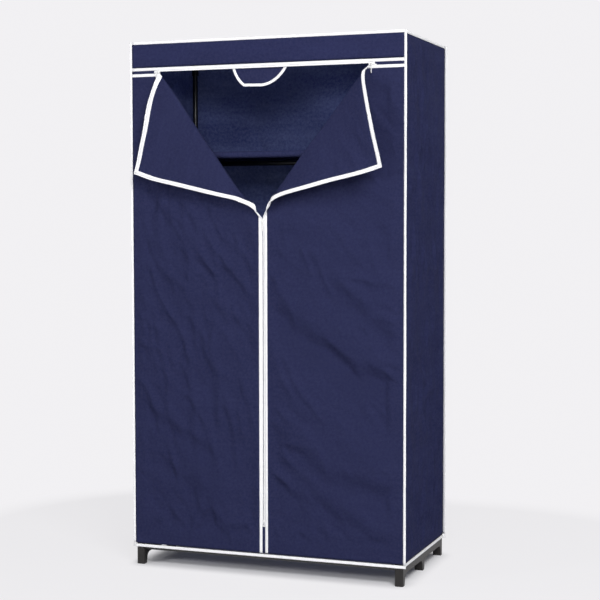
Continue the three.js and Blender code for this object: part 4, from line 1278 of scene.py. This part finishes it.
zip_ends = [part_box("left_top_slider")[0].x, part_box("right_top_slider")[1].x]
upper = straight_band("fascia_zip_binding", -door_side, door_side, near_tape, near_tape + bound_width,
                      binding_thickness, white_binding)
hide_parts("fascia_zip_edge")
straight_band("fascia_zip_tape", *zip_ends, tape_start, tape_end, tape_thickness, white_zip_tape)
turns = row_of_turns((zip_ends[0], coil_offset), (zip_ends[1], coil_offset))
hang_turns("fascia_zip_coil", turns, fascia_zip_place)


def zip_end_place(u, v):
    return Vector((u, cloth_front + 0.0008, zip_line + v))


def sew_facing(name, low_u, high_u, low_v, high_v, grid, place):
    """A strip of cover cloth behind the tapes, which closes the slot between them."""
    flat = cut_cloth(strip_outline(low_u, high_u, low_v, high_v), grid)
    facing = hang_cloth(name, flat, place, facing_thickness, [navy_outside])


end_lap = 0.004
facing_half = near_tape + 0.003
for name, low_u, high_u in (
        ("left", -door_side, zip_ends[0] + end_lap), ("right", zip_ends[1] - end_lap, door_side)):
    sew_facing(f"{name}_zip_end_facing", low_u, high_u, -facing_half, facing_half, (0.012, 0.008),
               zip_end_place)

# Below the bottom stop a facing closes the upright slot too.


def slot_place(u, v):
    return Vector((u, cloth_front + 0.0012, v))


slot_half = 0.0075
slot_top = zip_foot + 0.008
sew_facing("zip_slot_facing", door_centre - slot_half, door_centre + slot_half, cover_foot, slot_top,
           (0.008, 0.012), slot_place)

# Sliders, pulls and the bottom stop: die-cast zinc with baked white enamel, softly rounded.
white_enamel, enamel_shader = new_material("white_enamel", (0.82, 0.82, 0.81), 0.28)
enamel_place = object_place(white_enamel)
enamel_wear = remap(white_enamel, grain(white_enamel, enamel_place, 160, 4), To_Min=0.22, To_Max=0.40)
wire(white_enamel, enamel_wear, sock(enamel_shader, "Roughness"))
sock(enamel_shader, "Coat Weight").default_value = 0.3
sock(enamel_shader, "Coat Roughness").default_value = 0.15
add_bump(white_enamel, enamel_shader, grain(white_enamel, enamel_place, 420, 2), 0.00006, 0.4)
hardware = {
    "zip_bottom_stop": "frame_and_cover", "centre_slider": "upright_slider", "centre_pull": "upright_pull",
    "left_top_slider": "top_left_slider", "left_top_pull": "top_left_pull",
    "right_top_slider": "top_right_slider", "right_top_pull": "top_right_pull"}
for node, body in hardware.items():
    round_edges(node, 0.0003, white_enamel, body)

# Floor and light: a seamless pale studio floor, a soft lamp in front, a larger one high at the front
# right, one at the front left, a weak one behind at the right, and an even pale surround. Away from
# the wardrobe the floor shows the surround's own paleness, so that no edge of it shows.
surround_colour = (0.885, 0.875, 0.895, 1)
floor_bm = bmesh.new()
bmesh.ops.create_grid(floor_bm, x_segments=1, y_segments=1, size=15)
floor = new_object("floor", new_mesh("floor", floor_bm))
pale_floor, floor_shader = new_material("pale_floor", (0.87, 0.865, 0.885), 0.95)
sock(floor_shader, "Specular IOR Level").default_value = 0.0


def seen_share(rays):
    """1 for rays that show the surround itself: from the camera, off gloss or through glass."""
    path = join_up(rays, "LightPath").outputs
    seen = reckon(rays, "MAXIMUM", path["Is Camera Ray"], path["Is Glossy Ray"])
    return reckon(rays, "MAXIMUM", seen, path["Is Transmission Ray"])


def past(value, middle, reach):
    """How far a floor coordinate is beyond a reach on either side of a middle."""
    return reckon(pale_floor, "MAXIMUM", 0.0, reckon(
        pale_floor, "SUBTRACT", away_from(pale_floor, value, middle), reach))


floor_place = join_up(pale_floor, "SeparateXYZ", Vector=object_place(pale_floor))
sides_past = (past(floor_place.outputs[0], 0.0, 0.40), past(floor_place.outputs[1], wardrobe_middle_y, 0.20))
squares = [reckon(pale_floor, "MULTIPLY", value, value) for value in sides_past]
outside = reckon(pale_floor, "SQRT", reckon(pale_floor, "ADD", *squares))
smooth = {"interpolation_type": "SMOOTHSTEP"}
near_share = remap(pale_floor, outside, settings=smooth, From_Min=0.0, From_Max=0.07, To_Min=0.03,
                   To_Max=0.86)
far_share = remap(pale_floor, outside, settings=smooth, From_Min=0.1, From_Max=1.0)
pale_share = reckon(pale_floor, "MULTIPLY", seen_share(pale_floor),
                    reckon(pale_floor, "MAXIMUM", near_share, far_share))
pale_light = join_up(pale_floor, "Emission", Color=surround_colour, Strength=1.0)
whole_floor = join_up(pale_floor, "MixShader", _0=pale_share, _1=floor_shader.outputs[0],
                      _2=pale_light.outputs[0])
wire(pale_floor, whole_floor.outputs[0], pale_floor.node_tree.nodes["Material Output"].inputs["Surface"])
dress(floor, pale_floor)

# Each lamp's place, the point it faces, its width and height, and its power in watts.
lamps = {
    "key_lamp": ((1.5, -4.3, 2.2), (0, 0, 1.1), (1.8, 0.8), 54),
    "upper_lamp": ((2.7, -3.4, 3.8), (0, 0, 0.8), (1.9, 1.5), 180),
    "left_lamp": ((-2.6, -3.4, 1.6), (0, 0, 1.0), (0.8, 0.8), 40),
    "rear_lamp": ((3.0, 1.9, 1.9), (0.3, 0.1, 0.9), (1.0, 1.4), 12)}
for name, (place, aim, size, power) in lamps.items():
    lamp_data = bpy.data.lights.new(name, "AREA")
    lamp_data.shape = "RECTANGLE"
    lamp_data.size, lamp_data.size_y = size
    lamp_data.energy = power
    lamp = new_object(name, lamp_data)
    lamp.location = place
    lamp.rotation_mode = "QUATERNION"
    lamp.rotation_quaternion = (Vector(aim) - Vector(place)).to_track_quat("-Z", "Y")
world = bpy.data.worlds.new("surround")
bpy.context.scene.world = world
world.use_nodes = True
light_ground = world.node_tree.nodes["Background"]
light_ground.inputs["Color"].default_value = (0.95, 0.96, 1.0, 1)
light_ground.inputs["Strength"].default_value = 0.15
seen_ground = join_up(world, "Background", Color=surround_colour, Strength=1.0)
grounds = join_up(world, "MixShader", _0=seen_share(world), _1=light_ground.outputs[0],
                  _2=seen_ground.outputs[0])
wire(world, grounds.outputs[0], world.node_tree.nodes["World Output"].inputs["Surface"])
bpy.context.scene.view_settings.view_transform = "Standard"

bpy.context.view_layer.update()
